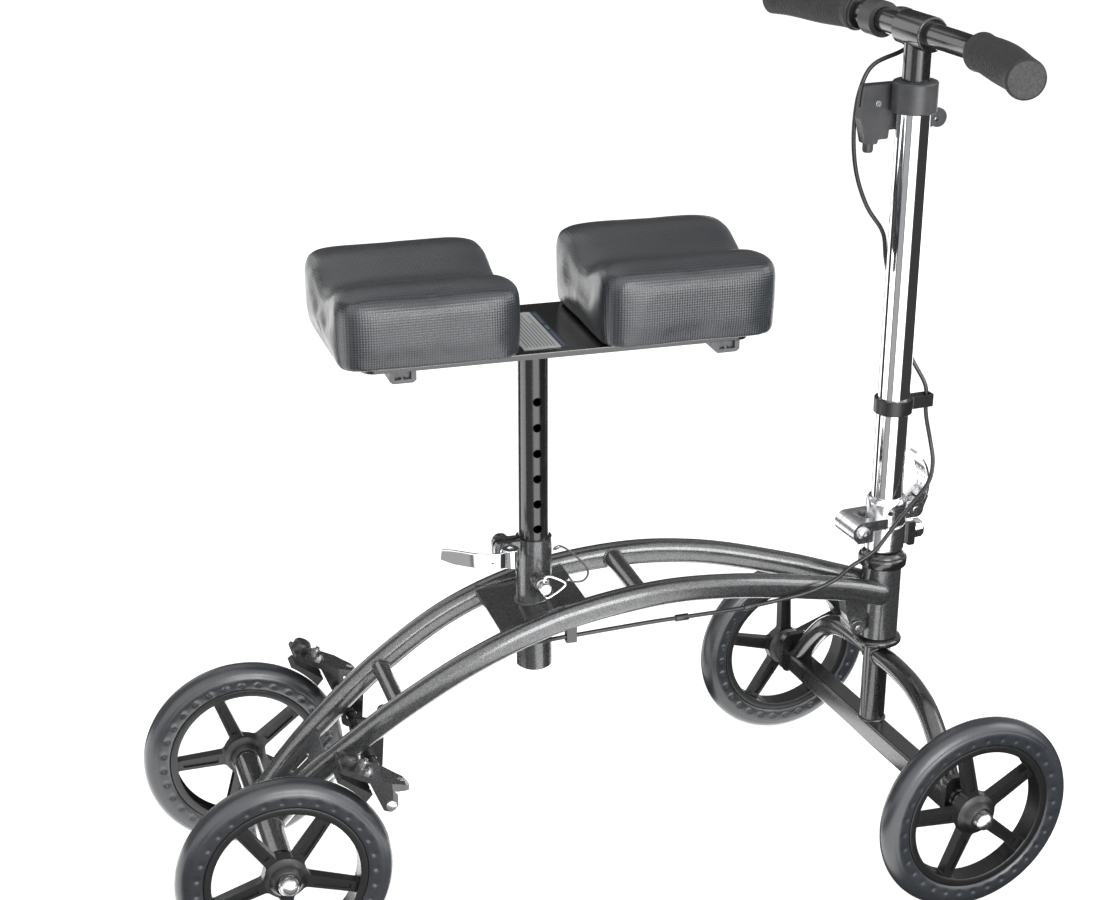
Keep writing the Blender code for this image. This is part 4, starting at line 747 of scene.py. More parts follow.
def smooth_pad(name, node, x0, x1, seed):
    cx, hx = (x0 + x1) / 2.0, (x1 - x0) / 2.0
    hy = PAD_HALF
    shrink = 1.2
    n = 12
    def outline(dx, r):
        pts = []
        ax_, ay = hx - dx, hy - dx
        r = max(min(r, ax_ - 0.5, ay - 0.5), 0.5)
        for sx, sy, a0 in ((1, 1, 0), (-1, 1, 90), (-1, -1, 180), (1, -1, 270)):
            for k in range(n + 1):
                a = math.radians(a0 + 90.0 * k / n)
                pts.append((cx + sx * (ax_ - r) + r * math.cos(a), sy * (ay - r) + r * math.sin(a)))
            if sx == sy:
                for k in range(1, 8):
                    pts.append((cx + sx * (ax_ - r) * (1.0 - 2.0 * k / 8.0), sy * ay))
            else:
                for k in range(1, 24):
                    pts.append((cx + sx * ax_, sy * (ay - r) * (1.0 - 2.0 * k / 24.0)))
        return pts
    MID, TOP = PADH[name]
    levels = [(5.0, 18.0, 0.0), (1.6, 20.0, 2.2), (0.6, 21.0, 6.0), (0.0, 22.0, 0.30), (0.0, 22.0, 0.55), (0.0, 22.0, 0.74), (1.2, 21.0, 0.835),
              (3.4, 20.0, 0.892), (7.0, 19.0, 0.928), (12.5, 17.5, 0.952), (20.0, 15.5, 0.971), (30.0, 13.0, 0.985), (42.0, 10.0, 0.994), (56.0, 6.0, 1.0), (70.0, 3.0, 1.0), (hx - 1.5, 0.8, 1.0)]
    bm = bmesh.new()
    rings_ = []
    for dx, r, lv in levels:
        row = []
        for x, y in outline(dx + shrink, r):
            h = pad_top(y, MID, TOP)
            # the crown falls a little towards the ends
            e = 1.0
            z = PAD_Z + (lv if lv > 1.5 else lv * h * e)
            row.append(Vector((x, y, z)))
        rings_.append(row)
    loft(bm, rings_)
    ob = raw(bm)
    ob.data.transform(Matrix.Scale(0.001, 4))
    m = ob.modifiers.new("r", 'REMESH')
    m.mode, m.voxel_size = 'VOXEL', 0.0042
    dg = bpy.context.evaluated_depsgraph_get(); dg.update()
    me = bpy.data.meshes.new_from_object(ob.evaluated_get(dg))
    old = ob.data
    ob.modifiers.clear()
    ob.data = me
    bpy.data.meshes.remove(old)
    nv = len(me.vertices)
    co = np.zeros(nv * 3); me.vertices.foreach_get("co", co); co = co.reshape(-1, 3)
    # a little air pressure tightens the cover over the foam
    cl = ob.modifiers.new("c", 'CLOTH')
    s = cl.settings
    s.quality = 4
    s.mass = 0.4
    s.tension_stiffness = s.compression_stiffness = 30
    s.bending_stiffness = 3.0
    s.use_pressure = True
    s.uniform_pressure_force = 4.0
    s.effector_weights.gravity = 0.0
    cl.collision_settings.use_collision = False
    cl.point_cache.frame_start, cl.point_cache.frame_end = 1, 20
    for f in range(1, 21):
        bpy.context.scene.frame_set(f)
    dg = bpy.context.evaluated_depsgraph_get()
    ev = ob.evaluated_get(dg).to_mesh()
    c2 = np.zeros(nv * 3); ev.vertices.foreach_get("co", c2); c2 = c2.reshape(-1, 3)
    ob.evaluated_get(dg).to_mesh_clear()
    ob.modifiers.clear()
    bpy.context.scene.frame_set(1)
    d = c2 - co
    L = np.linalg.norm(d, axis=1, keepdims=True)
    cap = 0.0016
    d = d * np.minimum(1.0, cap / np.maximum(L, 1e-9))
    # the underside is held by its board
    held = np.clip((co[:, 2] - PAD_Z * 0.001) / 0.010, 0, 1)[:, None]
    co = co + d * held
    me.vertices.foreach_set("co", co.ravel())
    # pull lines and pleats where the cover is gathered round the corners
    cxm = cx * 0.001
    nr = np.zeros(nv * 3); me.vertices.foreach_get("normal", nr); nr = nr.reshape(-1, 3)
    rng = np.random.RandomState(seed)
    zrel = (co[:, 2] - PAD_Z * 0.001) / 0.06
    disp = np.zeros(nv)
    side = np.clip(1 - np.abs(nr[:, 2]) * 1.4, 0, 1)
    fall = np.clip(1.05 - zrel, 0, 1) ** 1.3
    for sx in (-1, 1):
        face = np.clip((sx * (co[:, 0] - cxm)) / (hx * 0.001) - 0.86, 0, 0.14) / 0.14
        for y0, w, a in PLEATS[(name, sx)]:
            lean = 0.10 * (rng.rand() - 0.5)
            yy = co[:, 1] - (y0 * 0.001 + lean * (co[:, 2] - PAD_Z * 0.001))
            disp -= a * 0.001 * np.exp(-(yy / (w * 0.001)) ** 2) * face * side * fall
            disp += a * 0.0006 * np.exp(-((yy - w * 0.0018) / (w * 0.0013)) ** 2) * face * side * fall
    for sy in (-1, 1):
        face = np.clip((sy * co[:, 1]) / 0.087 - 0.86, 0, 0.14) / 0.14
        for x0_, w, a in PLEATS[(name, 2 * sy)]:
            lean = 0.10 * (rng.rand() - 0.5)
            xx = co[:, 0] - cxm - (x0_ * 0.001 + lean * (co[:, 2] - PAD_Z * 0.001))
            disp -= a * 0.001 * np.exp(-(xx / (w * 0.001)) ** 2) * face * side * np.clip(0.55 - zrel, 0, 1)
    # gentle unevenness of foam under the cover
    for _ in range(10):
        k = rng.randn(3) * 55
        ph = rng.rand() * 6.28
        disp += 0.00011 * np.sin(co @ k + ph)
    co = co + nr * disp[:, None]
    me.vertices.foreach_set("co", co.ravel())
    me.update()
    me.transform(Matrix.Translation((ORIGIN_X * 0.001, 0, 0)))
    me.materials.clear()
    me.materials.append(VINYL)
    me.shade_smooth()
    ob.name = me.name = name
    sm = ob.modifiers.new("sm", 'SMOOTH')
    sm.factor, sm.iterations = 0.5, 3
    ss = ob.modifiers.new("s", 'SUBSURF')
    ss.levels = ss.render_levels = 1
    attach(ob, "seat")
    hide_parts(node)
    return ob

PAD_Z = 556.4
PADH = {"knee_pad_rear": (54.5, 70.5), "knee_pad_front": (57.0, 74.0)}
PLEATS = {
    ("knee_pad_rear", -1): [(-66, 2.2, 0.7), (-58, 2.0, 0.5), (62, 2.2, 0.6), (71, 2.0, 0.5)],
    ("knee_pad_rear", 1): [(-68, 2.2, 0.7), (60, 2.4, 0.6)],
    ("knee_pad_rear", -2): [(-66, 2.6, 0.6), (64, 2.6, 0.6)], ("knee_pad_rear", 2): [(-66, 2.6, 0.6), (60, 2.6, 0.6)],
    ("knee_pad_front", -1): [(18, 2.0, 1.0), (8, 2.2, 1.2), (-6, 2.0, 0.7), (-62, 2.2, 0.7), (66, 2.0, 0.6)],
    ("knee_pad_front", 1): [(-64, 2.2, 0.7), (66, 2.2, 0.7)],
    ("knee_pad_front", -2): [(-68, 2.6, 0.7), (66, 2.6, 0.6)], ("knee_pad_front", 2): [(-64, 2.6, 0.6), (62, 2.6, 0.6)],
}
smooth_pad("knee_pad_rear", "rear_pad", 74.0, 240.0, 3)
smooth_pad("knee_pad_front", "front_pad", 308.0, 474.0, 8)

for tag, x in (("rear", 138.0), ("front", 437.0)):
    piece("cleat_" + tag, "seat", BRACKET,
          [prism(fillet([(x - 12, 534), (x - 12, 549.9), (x + 12, 549.9), (x + 12, 534), (x + 9, 531.6), (x - 9, 531.6)], [2, 0, 0, 2, 2, 2]), -46, 18)],
          [box((x - 7.5, -47, 535), (x + 7.5, -41, 546)), rod((x, -40, 525), (x, -40, 536), 3.4, 20), rod((x, 10, 525), (x, 10, 536), 3.4, 20)], bev=0.7, rep=["pad_bracket_" + tag])
    for y in (-40, 10):
        piece("cleat_screw_%s_%d" % (tag, y + 40), "seat", STEEL, [lathe([(0, 0), (3.1, 0), (3.0, 1.4), (0, 2.0)], (x, y, 536.2), (0, 0, -1), 24)])

# =====================================================================
#  CLAMP LEVER, PULL PIN, LANYARD
# =====================================================================
def strip(path, half, thick, up=(0, 0, 1), edge=0.9):
    """Flat bar with softened edges following a path."""
    bm = bmesh.new()
    rings_ = []
    U = Vector(up)
    for i, p in enumerate(path):
        t = (path[min(i + 1, len(path) - 1)] - path[max(i - 1, 0)]).normalized()
        s = t.cross(U).normalized()
        w = (U - t * U.dot(t)).normalized()
        hh = half[i] if isinstance(half, list) else half
        th = thick
        e = min(edge, th * 0.95, hh * 0.4)
        rings_.append([p + s * a * 1.0 + w * b for a, b in
                       ((th, hh - e), (th - e * 0.3, hh - e * 0.3), (th - e, hh), (-th + e, hh), (-th + e * 0.3, hh - e * 0.3), (-th, hh - e),
                        (-th, -hh + e), (-th + e * 0.3, -hh + e * 0.3), (-th + e, -hh), (th - e, -hh), (th - e * 0.3, -hh + e * 0.3), (th, -hh + e))])
    loft(bm, rings_)
    return bm

def lerp_list(vals, count):
    out = []
    for i in range(count):
        f = i * (len(vals) - 1) / (count - 1)
        k = min(int(f), len(vals) - 2)
        out.append(vals[k] + (vals[k + 1] - vals[k]) * (f - k))
    return out

lp = spline([(EAR_X, -22, EAR_Z), (226, -27, EAR_Z + 0.5), (208, -27, EAR_Z + 3), (191, -22, EAR_Z + 6), (176, -14, EAR_Z + 8)], 40)
piece("clamp_lever", "seat_lever", CHROME, [rod((EAR_X, -20.5, EAR_Z - 9), (EAR_X, -20.5, EAR_Z + 9), 8.4, 44, cham=1.2),
      strip(lp, lerp_list([8, 8, 7.6, 7.2, 7, 7, 7, 6.6, 5.0], 40), 1.7)],
      [rod((221, -40, EAR_Z + 1), (221, -10, EAR_Z + 1), 2.4, 24), rod((EAR_X, -20.5, EAR_Z - 12), (EAR_X, -20.5, EAR_Z - 7.6), 3.2, 24),
       rod((EAR_X, -20.5, EAR_Z + 7.6), (EAR_X, -20.5, EAR_Z + 12), 3.2, 24)], bev=0.3, rep=["seat_clamp_lever"])
piece("clamp_lever_pin", "seat_lever", ZINC, [rod((EAR_X, -20.5, EAR_Z - 8.4), (EAR_X, -20.5, EAR_Z + 8.4), 3.0, 24)])

piece("pin_body", "pin", ZINC, [rod((POST_X, -14.8, PIN_Z), (POST_X, -33, PIN_Z), 3.7, 28, cham=0.6),
      lathe([(0, 0), (5.2, 0), (6.0, 0.8), (6.0, 3.0), (5.4, 3.6), (5.4, 4.4), (6.0, 5.0), (6.0, 12.0), (5.0, 13.4), (0, 13.8)], (POST_X, -28.2, PIN_Z), (0, -1, 0), 36)],
      [rod((POST_X, -37, PIN_Z - 12), (POST_X, -37, PIN_Z + 12), 1.8, 20)], rep=["pull_pin"])
tri = spline([(POST_X, -37, PIN_Z - 9), (POST_X, -37, PIN_Z), (POST_X, -37, PIN_Z + 9), (POST_X + 5, -37, PIN_Z + 11),
              (POST_X + 18, -37, PIN_Z + 4), (POST_X + 19, -37, PIN_Z - 1), (POST_X + 5, -37, PIN_Z - 10)], 80, closed=True)
piece("pin_ring", "pin", CHROME, [sweep(tri, 1.25, 1.25, 14, side=(0, 1, 0), closed=True)], rep=["pin_bail"])
lany = spline([(285.5, -6, 339), (292, -10, 343), (304, -18, 335), (313, -27, 323), (306, -35, 317), (292, -35.5, 318.2), (289.5, -37, 322)], 90)
piece("pin_tether", "frame", WIRE, [sweep(lany, 0.95, 0.95, 12, side=(0, 0, 1))], rep=["pin_lanyard"])
piece("tether_crimp_a", "frame", ZINC, [rod(tuple(lany[2]), tuple(lany[9]), 1.7, 20, cham=0.3)])
piece("tether_crimp_b", "frame", ZINC, [rod(tuple(lany[-9]), tuple(lany[-2]), 1.7, 20, cham=0.3)])

# =====================================================================
#  FRONT END (steers)
# =====================================================================
# the fork parts below use the vein paint darkened as painted shade
piece("steerer_tube", "front_end", VEIN_PAINTED_SHADE, [rod((0, 0, 106.0), (0, 0, 318), 12.7, 56)], space="S", rep=["fork_steerer"])
xb = [prism(rounded(0, 95, 11, 11, 3.0, 6), -164.5, 164.5)]
for s in (1, -1):
    y0, y1 = (163.2, 170.4) if s > 0 else (-170.4, -163.2)
    xb.append(prism(rounded(0, 104, 17, 22, 9, 8), y0, y1))
piece("front_beam", "front_end", VEIN_PAINTED_SHADE, xb, [rod((0, -176, 100), (0, -150, 100), 6.2, 32), rod((0, 150, 100), (0, 176, 100), 6.2, 32)],
      bev=0.8, space="S", rep=["fork_crossbar"])
sw = [(12.9 * math.cos(a), 12.9 * math.sin(a), 106.6) for a in [2 * math.pi * k / 30 for k in range(30)]]
piece("weld_steerer_low", "front_end", VEIN_PAINTED_SHADE, [bead(sw, 1.5)], space="S")
for tag, s in (("left", 1), ("right", -1)):
    p = smooth_path(spline([(0, s * 6, 181), (0, s * 40, 181), (0, s * 74, 176), (0, s * 102, 163), (0, s * 128, 138), (0, s * 148, 112), (0, s * 158, 100)], 90), 4)
    piece("arm_tube_" + tag, "front_end", VEIN_PAINTED_SHADE, [sweep(p, 10.5, 10.5, 36, side=(1, 0, 0))],
          [rod((0, 0, 120), (0, 0, 240), 12.72, 48), box((-12, -172, 78), (12, 172, 106.02)),
           box((-20, min(s * 163.1, s * 182), 78), (20, max(s * 163.1, s * 182), 130))], space="S", rep=["fork_arm_" + tag])
    # weld round the arm on the steerer
    loop = []
    for k in range(26):
        a = 2 * math.pi * k / 26
        x, z = 10.5 * math.cos(a), 181 + 10.5 * math.sin(a)
        loop.append((x * 1.03, s * math.sqrt(max(12.9 ** 2 - min(x * x, 160), 4)), z))
    piece("weld_arm_" + tag, "front_end", VEIN_PAINTED_SHADE, [bead(loop, 1.5)], space="S")
    nut = [(0, 0), (9.0, 0), (9.0, 4.0), (8.4, 5.4), (7.0, 7.4), (4.6, 9.0), (2.0, 9.9), (0, 10.0)]
    piece("front_axle_" + tag + "_bolt", "front_end", ZINC,
          [rod((0, s * 151.0, 100), (0, s * 212, 100), 5.9, 32, cham=0.8), rod((0, s * 170.8, 100), (0, s * 177.0, 100), 9.5, 36, cham=0.8),
           lathe(nut, (0, s * 209.2, 100), (0, s, 0), 40)], space="S", rep=["front_axle_" + tag])

# folding joint castings
FX, FZ = -35.0, 324.0
piece("hinge_base", "front_end", CAST,
      [lathe([(0, 0), (17.0, 0), (19.2, 1.0), (20.0, 2.8), (20.0, 24.5), (19.4, 26.6), (18.6, 27.2), (0, 27.2)], (0, 0, 296.6), (0, 0, 1), 60),
       box((-35, -9, 308), (-12, 9, 323.6)), rod((FX, -9, FZ), (FX, 9, FZ), 11.0, 44), box((15, -8, 300), (27, 8, 323.6))],
      [rod((FX, -20, FZ), (FX, 20, FZ), 3.8, 28), rod((0, 0, 280), (0, 0, 318.6), 12.95, 48)], bev=1.0, seg=3, space="S", rep=["fold_base"])
piece("hinge_pin", "front_end", ZINC, [rod((FX, -21.5, FZ), (FX, 21.5, FZ), 3.6, 28)] +
      [lathe([(0, 0), (6.4, 0), (6.3, 1.6), (5.2, 2.9), (3.0, 3.4), (0, 3.6)], (FX, s * 19.4, FZ), (0, s, 0), 32) for s in (1, -1)],
      [lathe([(0, 0), (1.9, 0), (1.9, 3), (0, 3)], (FX, s * 21.4, FZ), (0, s, 0), 6) for s in (1, -1)], bev=0.2, space="S", rep=["fold_pin"])
piece("latch_block", "front_end", BLACKPL, [prism(fillet([(20.5, 299), (28.4, 299), (28.4, 323.4), (20.5, 323.4)], [2, 2, 2, 2]), -11.5, 11.5)], [box((14, -8.1, 299.5), (27.1, 8.1, 324))], bev=0.8, space="S")
piece("latch_knob", "front_end", CHROME, [lathe([(0, 0), (9.2, 0), (10.0, 0.8), (10.0, 2.2), (9.3, 2.8), (9.3, 3.6), (10.0, 4.2), (10.0, 10.4), (9.2, 12.2), (7.0, 13.8), (3.0, 14.4), (0, 14.5)], (27.4, 0, 311.5), (1, 0, 0), 48)],
      space="S", rep=["fold_latch_knob"])

# =====================================================================
#  COLUMN
# =====================================================================
piece("column_pipe", "column", CHROME, [lathe([(13.3, 0), (15.1, 0), (15.5, 0.4), (15.5, 418.4), (15.1, 418.8), (13.3, 418.8)], (0, 0, 329.2), (0, 0, 1), 72)], space="S", rep=["column_tube"])
cs = [lathe([(0, 0), (18.6, 0), (19.5, 0.8), (20.0, 2.2), (20.0, 22.0), (19.3, 25.0), (17.6, 27.6), (16.2, 28.0), (0, 28.0)], (0, 0, 324.4), (0, 0, 1), 60)]
for a, b in ((9.6, 19.0), (-19.0, -9.6)):
    cs.append(box((-35, a, 324.6), (-8, b, 335)))
    cs.append(rod((FX, a, FZ), (FX, b, FZ), 11.0, 44))
cs.append(box((15, -6, 326.0), (33.5, 6, 344)))
piece("hinge_collar", "column", CAST, cs, [rod((FX, -30, FZ), (FX, 30, FZ), 3.8, 28), rod((0, 0, 328.8), (0, 0, 380), 15.56, 56), rod((28, -20, 336), (28, 20, 336), 3.3, 24),
      rod((-6, -30, 340), (-6, -17, 340), 2.4, 20), rod((6, -30, 340), (6, -17, 340), 2.4, 20)],
      bev=1.0, seg=3, space="S", rep=["fold_collar"])
for i, x in enumerate((-6, 6)):
    piece("collar_screw_%d" % i, "column", BLACKPL, [rod((x, -17.2, 340), (x, -18.6, 340), 2.2, 20, cham=0.3)], space="S")
piece("strap", "column", BLACKPL, [lathe([(15.55, 0), (18.0, 0), (18.6, 0.6), (18.6, 14.4), (18.0, 15), (15.55, 15)], (0, 0, 439), (0, 0, 1), 56),
      prism(rounded(29.6, 0, 12.4, 6, 2.5, 6), 440.5, 452.5, plane='XY')], [rod((36, 0, 430), (36, 0, 460), 3.6, 28), box((20, -0.4, 438), (44, 0.4, 456))], bev=0.5, space="S", rep=["cable_strap"])

CR = 15.55
piece("clamp_top", "column", GREYPL,
      [lathe([(12.9, 0), (20.0, 0), (21.0, 1.0), (21.0, 26.6), (20.2, 27.8), (18.6, 28.5), (12.9, 28.5)], (0, 0, 728), (0, 0, 1), 60),
       prism(fillet([(-44, 752), (-47, 722), (-41, 698), (-29, 698), (-28, 702), (-18, 702), (-17, 712), (-10, 712), (-10, 752)], [4, 5, 3, 2, 2, 2, 2, 0, 0]), 12, 24),
       lathe([(0, 0), (5.0, 0), (5.0, 7), (4.0, 9), (0, 9)], (-35, 18, 699), (0, 0, -1), 28)],
      [rod((0, 0, 690), (0, 0, 748.6), CR, 60), rod((0, 0, 700), (0, 0, 780), 13.1, 56), rod((-35, 18, 685), (-35, 18, 694), 2.6, 20),
       box((-46, 16.8, 726), (-14, 19.2, 758))], bev=0.7, space="S", rep=["height_clamp"])
piece("clamp_top_bolt", "column", STEEL, [rod((-30, 11, 735), (-30, 26, 735), 3.0, 24), rod((-30, 23.9, 735), (-30, 27.0, 735), 5.4, 6)], bev=0.3, space="S")

# =====================================================================
#  FRONT LEVERS
# =====================================================================
lp = spline([(36.5, 0, 345), (39.5, 0, 354), (39.5, 0, 366), (35.5, 0, 381), (27, 0, 394)], 36)
bmB = bmesh.new()
rr = []
hw = lerp_list([10.8, 11, 11, 11, 11, 10.8, 10.4, 9.4, 6.5], 36)
for i, p in enumerate(lp):
    t = (lp[min(i + 1, 35)] - lp[max(i - 1, 0)]).normalized()
    nn = Vector((t.z, 0, -t.x))
    h = hw[i]
    rr.append([p + nn * a + Vector((0, b, 0)) for a, b in ((1.6, h - 0.8), (0.8, h), (-0.8, h), (-1.6, h - 0.8), (-1.6, -h + 0.8), (-0.8, -h), (0.8, -h), (1.6, -h + 0.8))])
loft(bmB, rr)
fl = [bmB]
for a, b in ((6.4, 10.8), (-10.8, -6.4)):
    fl.append(rod((28, a, 336), (28, b, 336), 8.0, 40))
    fl.append(prism(fillet([(27, 330), (36, 337), (40.5, 349), (37, 354), (25, 343)], 1.5), a, b))
fl.append(rod((28, -11.5, 336), (28, 11.5, 336), 3.0, 28))
cutsl = [rod((30, 6.6 * k, 350 + 8.5 * j), (52, 6.6 * k, 350 + 8.5 * j), 1.7, 16) for k in (-1, 0, 1) for j in (1, 2, 3)]
piece("latch_lever", "column_latch", CAST, fl, cutsl, bev=0.5, space="S", rep=["fold_lever"])

hp = spline([(-30, 29, 714), (-14, 29.5, 714), (8, 29, 714), (28, 27, 714), (42, 26, 714)], 40)
piece("height_clamp_handle", "height_clamp_lever", GREYPL, [rod((-30, 29, 705.5), (-30, 29, 722.5), 4.4, 32, cham=0.7),
      strip(hp, lerp_list([7.5, 7.5, 8, 8, 8.5, 8.5, 9, 8.8, 6.5], 40), 2.2), rod((42, 23.6, 714), (42, 28.4, 714), 9.0, 44, cham=1.0)],
      [rod((40, 20, 713), (40, 32, 713), 2.2, 20)], bev=0.5, space="S", rep=["height_lever"])

# =====================================================================
#  HANDLEBARS
# =====================================================================
BZ = 800.0
BAR_R = 11.0
piece("stem_tube", "handlebars", BLACK, [rod((0, 0, 500), (0, 0, BZ - 6), 12.7, 48, cham=0.5), rod((0, -24, BZ), (0, 24, BZ), 16.0, 48, cham=1.8)],
      [rod((0, -40, BZ), (0, 40, BZ), BAR_R + 0.1, 40)] + [rod((-20, 0, 520 + 25 * k), (0, 0, 520 + 25 * k), 3.4, 20) for k in range(10)], bev=0.4, ang=45, space="S", rep=["handlebar_stem"])
def bar_path(a, b, count):
    out = []
    for i in range(count):
        y = a + (b - a) * i / (count - 1)
        k = max(abs(y) - 60.0, 0.0)
        out.append(Vector((-0.0013 * k * k, y, BZ)))
    return out
piece("bar_tube", "handlebars", BLACK, [sweep(bar_path(-214, 214, 90), BAR_R, BAR_R, 36, side=(1, 0, 0))], space="S", rep=["handlebar"])
for tag, s in (("left", 1), ("right", -1)):
    gp_ = bar_path(s * 104, s * 220, 140)
    rad = []
    prof = [17.5, 16.0, 16.2, 16.8, 17.2, 17.4, 17.2, 16.8, 16.4, 16.2, 16.6, 17.6]
    base_r = lerp_list(prof, 140)
    for i in range(140):
        f = i / 139.0
        rib = 0.38 * math.sin(i * 2 * math.pi / 5.0) if 0.10 < f < 0.92 else 0.0
        cap_ = -2.6 * max(0.0, (f - 0.965) / 0.035) ** 2 - 2.0 * max(0.0, (0.02 - f) / 0.02) ** 2
        rad.append(base_r[i] + rib + cap_)
    piece("grip_sleeve_" + tag, "handlebars", GRIP, [sweep(gp_, rad, rad, 44, side=(1, 0, 0))], [rod((0.2, s * 95, BZ), (-2.4, s * 104.8, BZ), 11.3, 30)], space="S", rep=["grip_" + tag])
    for k in (0,):
        piece("grip_collar_" + tag, "handlebars", BLACKPL, [rod(tuple(bar_path(s * 100.0, s * 101, 2)[0]), tuple(bar_path(s * 104.2, s * 105, 2)[0]), 15.2, 44, cham=0.8)],
              [rod((0.2, s * 90, BZ), (-3.2, s * 112, BZ), 11.3, 30)], space="S")

piece("brake_housing", "handlebars", GREYPL,
      [tube((-0.1, 62, BZ), (-0.7, 82, BZ), 16.5, 11.4, 44), prism(fillet([(12.5, BZ - 13), (38, BZ - 13), (38, BZ + 5), (12.5, BZ + 5)], [2, 4, 4, 2]), 56, 79),
       prism(fillet([(22, 76), (38, 76), (38, 93), (22, 93)], [0, 0, 5, 5]), BZ - 13, BZ - 9, plane='XY'),
       prism(fillet([(22, 76), (38, 76), (38, 93), (22, 93)], [0, 0, 5, 5]), BZ + 1, BZ + 5, plane='XY'),
       rod((26, 57, BZ - 4), (26, 44, BZ - 4), 4.6, 28, cham=0.6)],
      [rod((26, 36, BZ - 4), (26, 60, BZ - 4), 2.5, 20), rod((30, 86, BZ - 30), (30, 86, BZ + 20), 2.6, 24)] +
      [rod((26 + 4.9 * math.cos(a), 44.5, BZ - 4 + 4.9 * math.sin(a)), (26 + 4.9 * math.cos(a), 52, BZ - 4 + 4.9 * math.sin(a)), 0.6, 8) for a in [2 * math.pi * k / 10 for k in range(10)]],
      bev=0.6, space="S", rep=["brake_lever_body"])
piece("brake_housing_bolt", "handlebars", STEEL, [rod((16, 70, BZ + 6.2), (16, 70, BZ + 3), 3.4, 24, cham=0.4)], [lathe([(0, 0), (1.6, 0), (1.6, 3), (0, 3)], (16, 70, BZ + 4.4), (0, 0, 1), 6)], space="S")
bp = spline([(30, 86, BZ - 4), (37, 100, BZ - 4), (43, 122, BZ - 5), (42, 150, BZ - 6), (36, 176, BZ - 7), (32, 196, BZ - 8)], 60)
piece("brake_blade", "hand_brake", GREYPL, [rod((30, 86, BZ - 8.4), (30, 86, BZ + 0.4), 6.0, 32, cham=0.6), strip(bp, lerp_list([4.0, 4.2, 5, 6, 7, 7.5, 7.5, 7.5, 7.5, 7, 6.5, 5], 60), 2.3, edge=1.4),
      rod((30, 86, BZ - 11), (30, 86, BZ + 3), 2.3, 20), lathe([(0, 0), (4, 0.6), (5.6, 2.6), (6.0, 5), (5.6, 7.4), (4, 9.4), (0, 10)], (33.2, 191, BZ - 7.9), (-0.38, 0.92, 0), 32)],
      bev=0.4, space="S", rep=["brake_lever"])

# =====================================================================
#  REAR BRAKE
# =====================================================================
yk = [rod((BRAKE_X, -132, BRAKE_Z), (BRAKE_X, 132, BRAKE_Z), 5.0, 36)]
yc = []
for s in (1, -1):
    y0, y1 = (99, 133) if s > 0 else (-133, -99)
    yk.append(prism(fillet([(114.5, 173.5), (119, 168.5), (121, 172.5), (112.5, 180.0), (54, 209.5), (52, 205.5), (104, 176.5)], 1.2), y0, y1))
    for yy in (y0 + 2.0, y1 - 2.0):
        yk.append(prism(fillet([(90, 161), (97, 158.5), (104, 162), (105, 172), (98, 182), (76, 196)], [3, 4, 3, 3, 1, 1]), yy - 1.6, yy + 1.6))
yk.append(prism(fillet([(89, 169), (90.5, 158), (99, 156), (120, 158.5), (123, 162.5), (120.5, 167), (103, 173), (95, 173.5)], [4, 4, 3, 3, 3, 3, 3, 4]), 20.0, 24.5))
yc.append(rod((118.5, 12, 162.7), (118.5, 32, 162.7), 1.9, 20))
for s in (1, -1):
    for e in (1, -1):
        yc.append(prism([(94, s * 117 + e * 18.2), (99, s * 117 + e * 15.4), (104, s * 117 + e * 12.4), (108, s * 117 + e * 10.4), (111, s * 117 + e * 9.4), (113.4, s * 117 + e * 7.8),
                         (115.2, s * 117 + e * 5.6), (116.4, s * 117 + e * 2.8), (116.8, s * 117), (130, s * 117), (130, s * 117 + e * 26), (94, s * 117 + e * 26)], 150.0, 215.0, plane='XY'))
piece("brake_frame", "brake_arms", BRAKEPT, yk, yc, bev=0.6, rep=["brake_yoke"])
piece("crank_clevis", "brake_arms", ZINC, [rod((118.5, 18.6, 162.7), (118.5, 26.0, 162.7), 1.8, 20), rod((118.5, 18.2, 162.7), (118.5, 19.6, 162.7), 3.6, 28), rod((118.5, 24.9, 162.7), (118.5, 26.4, 162.7), 3.6, 6)], bev=0.2)
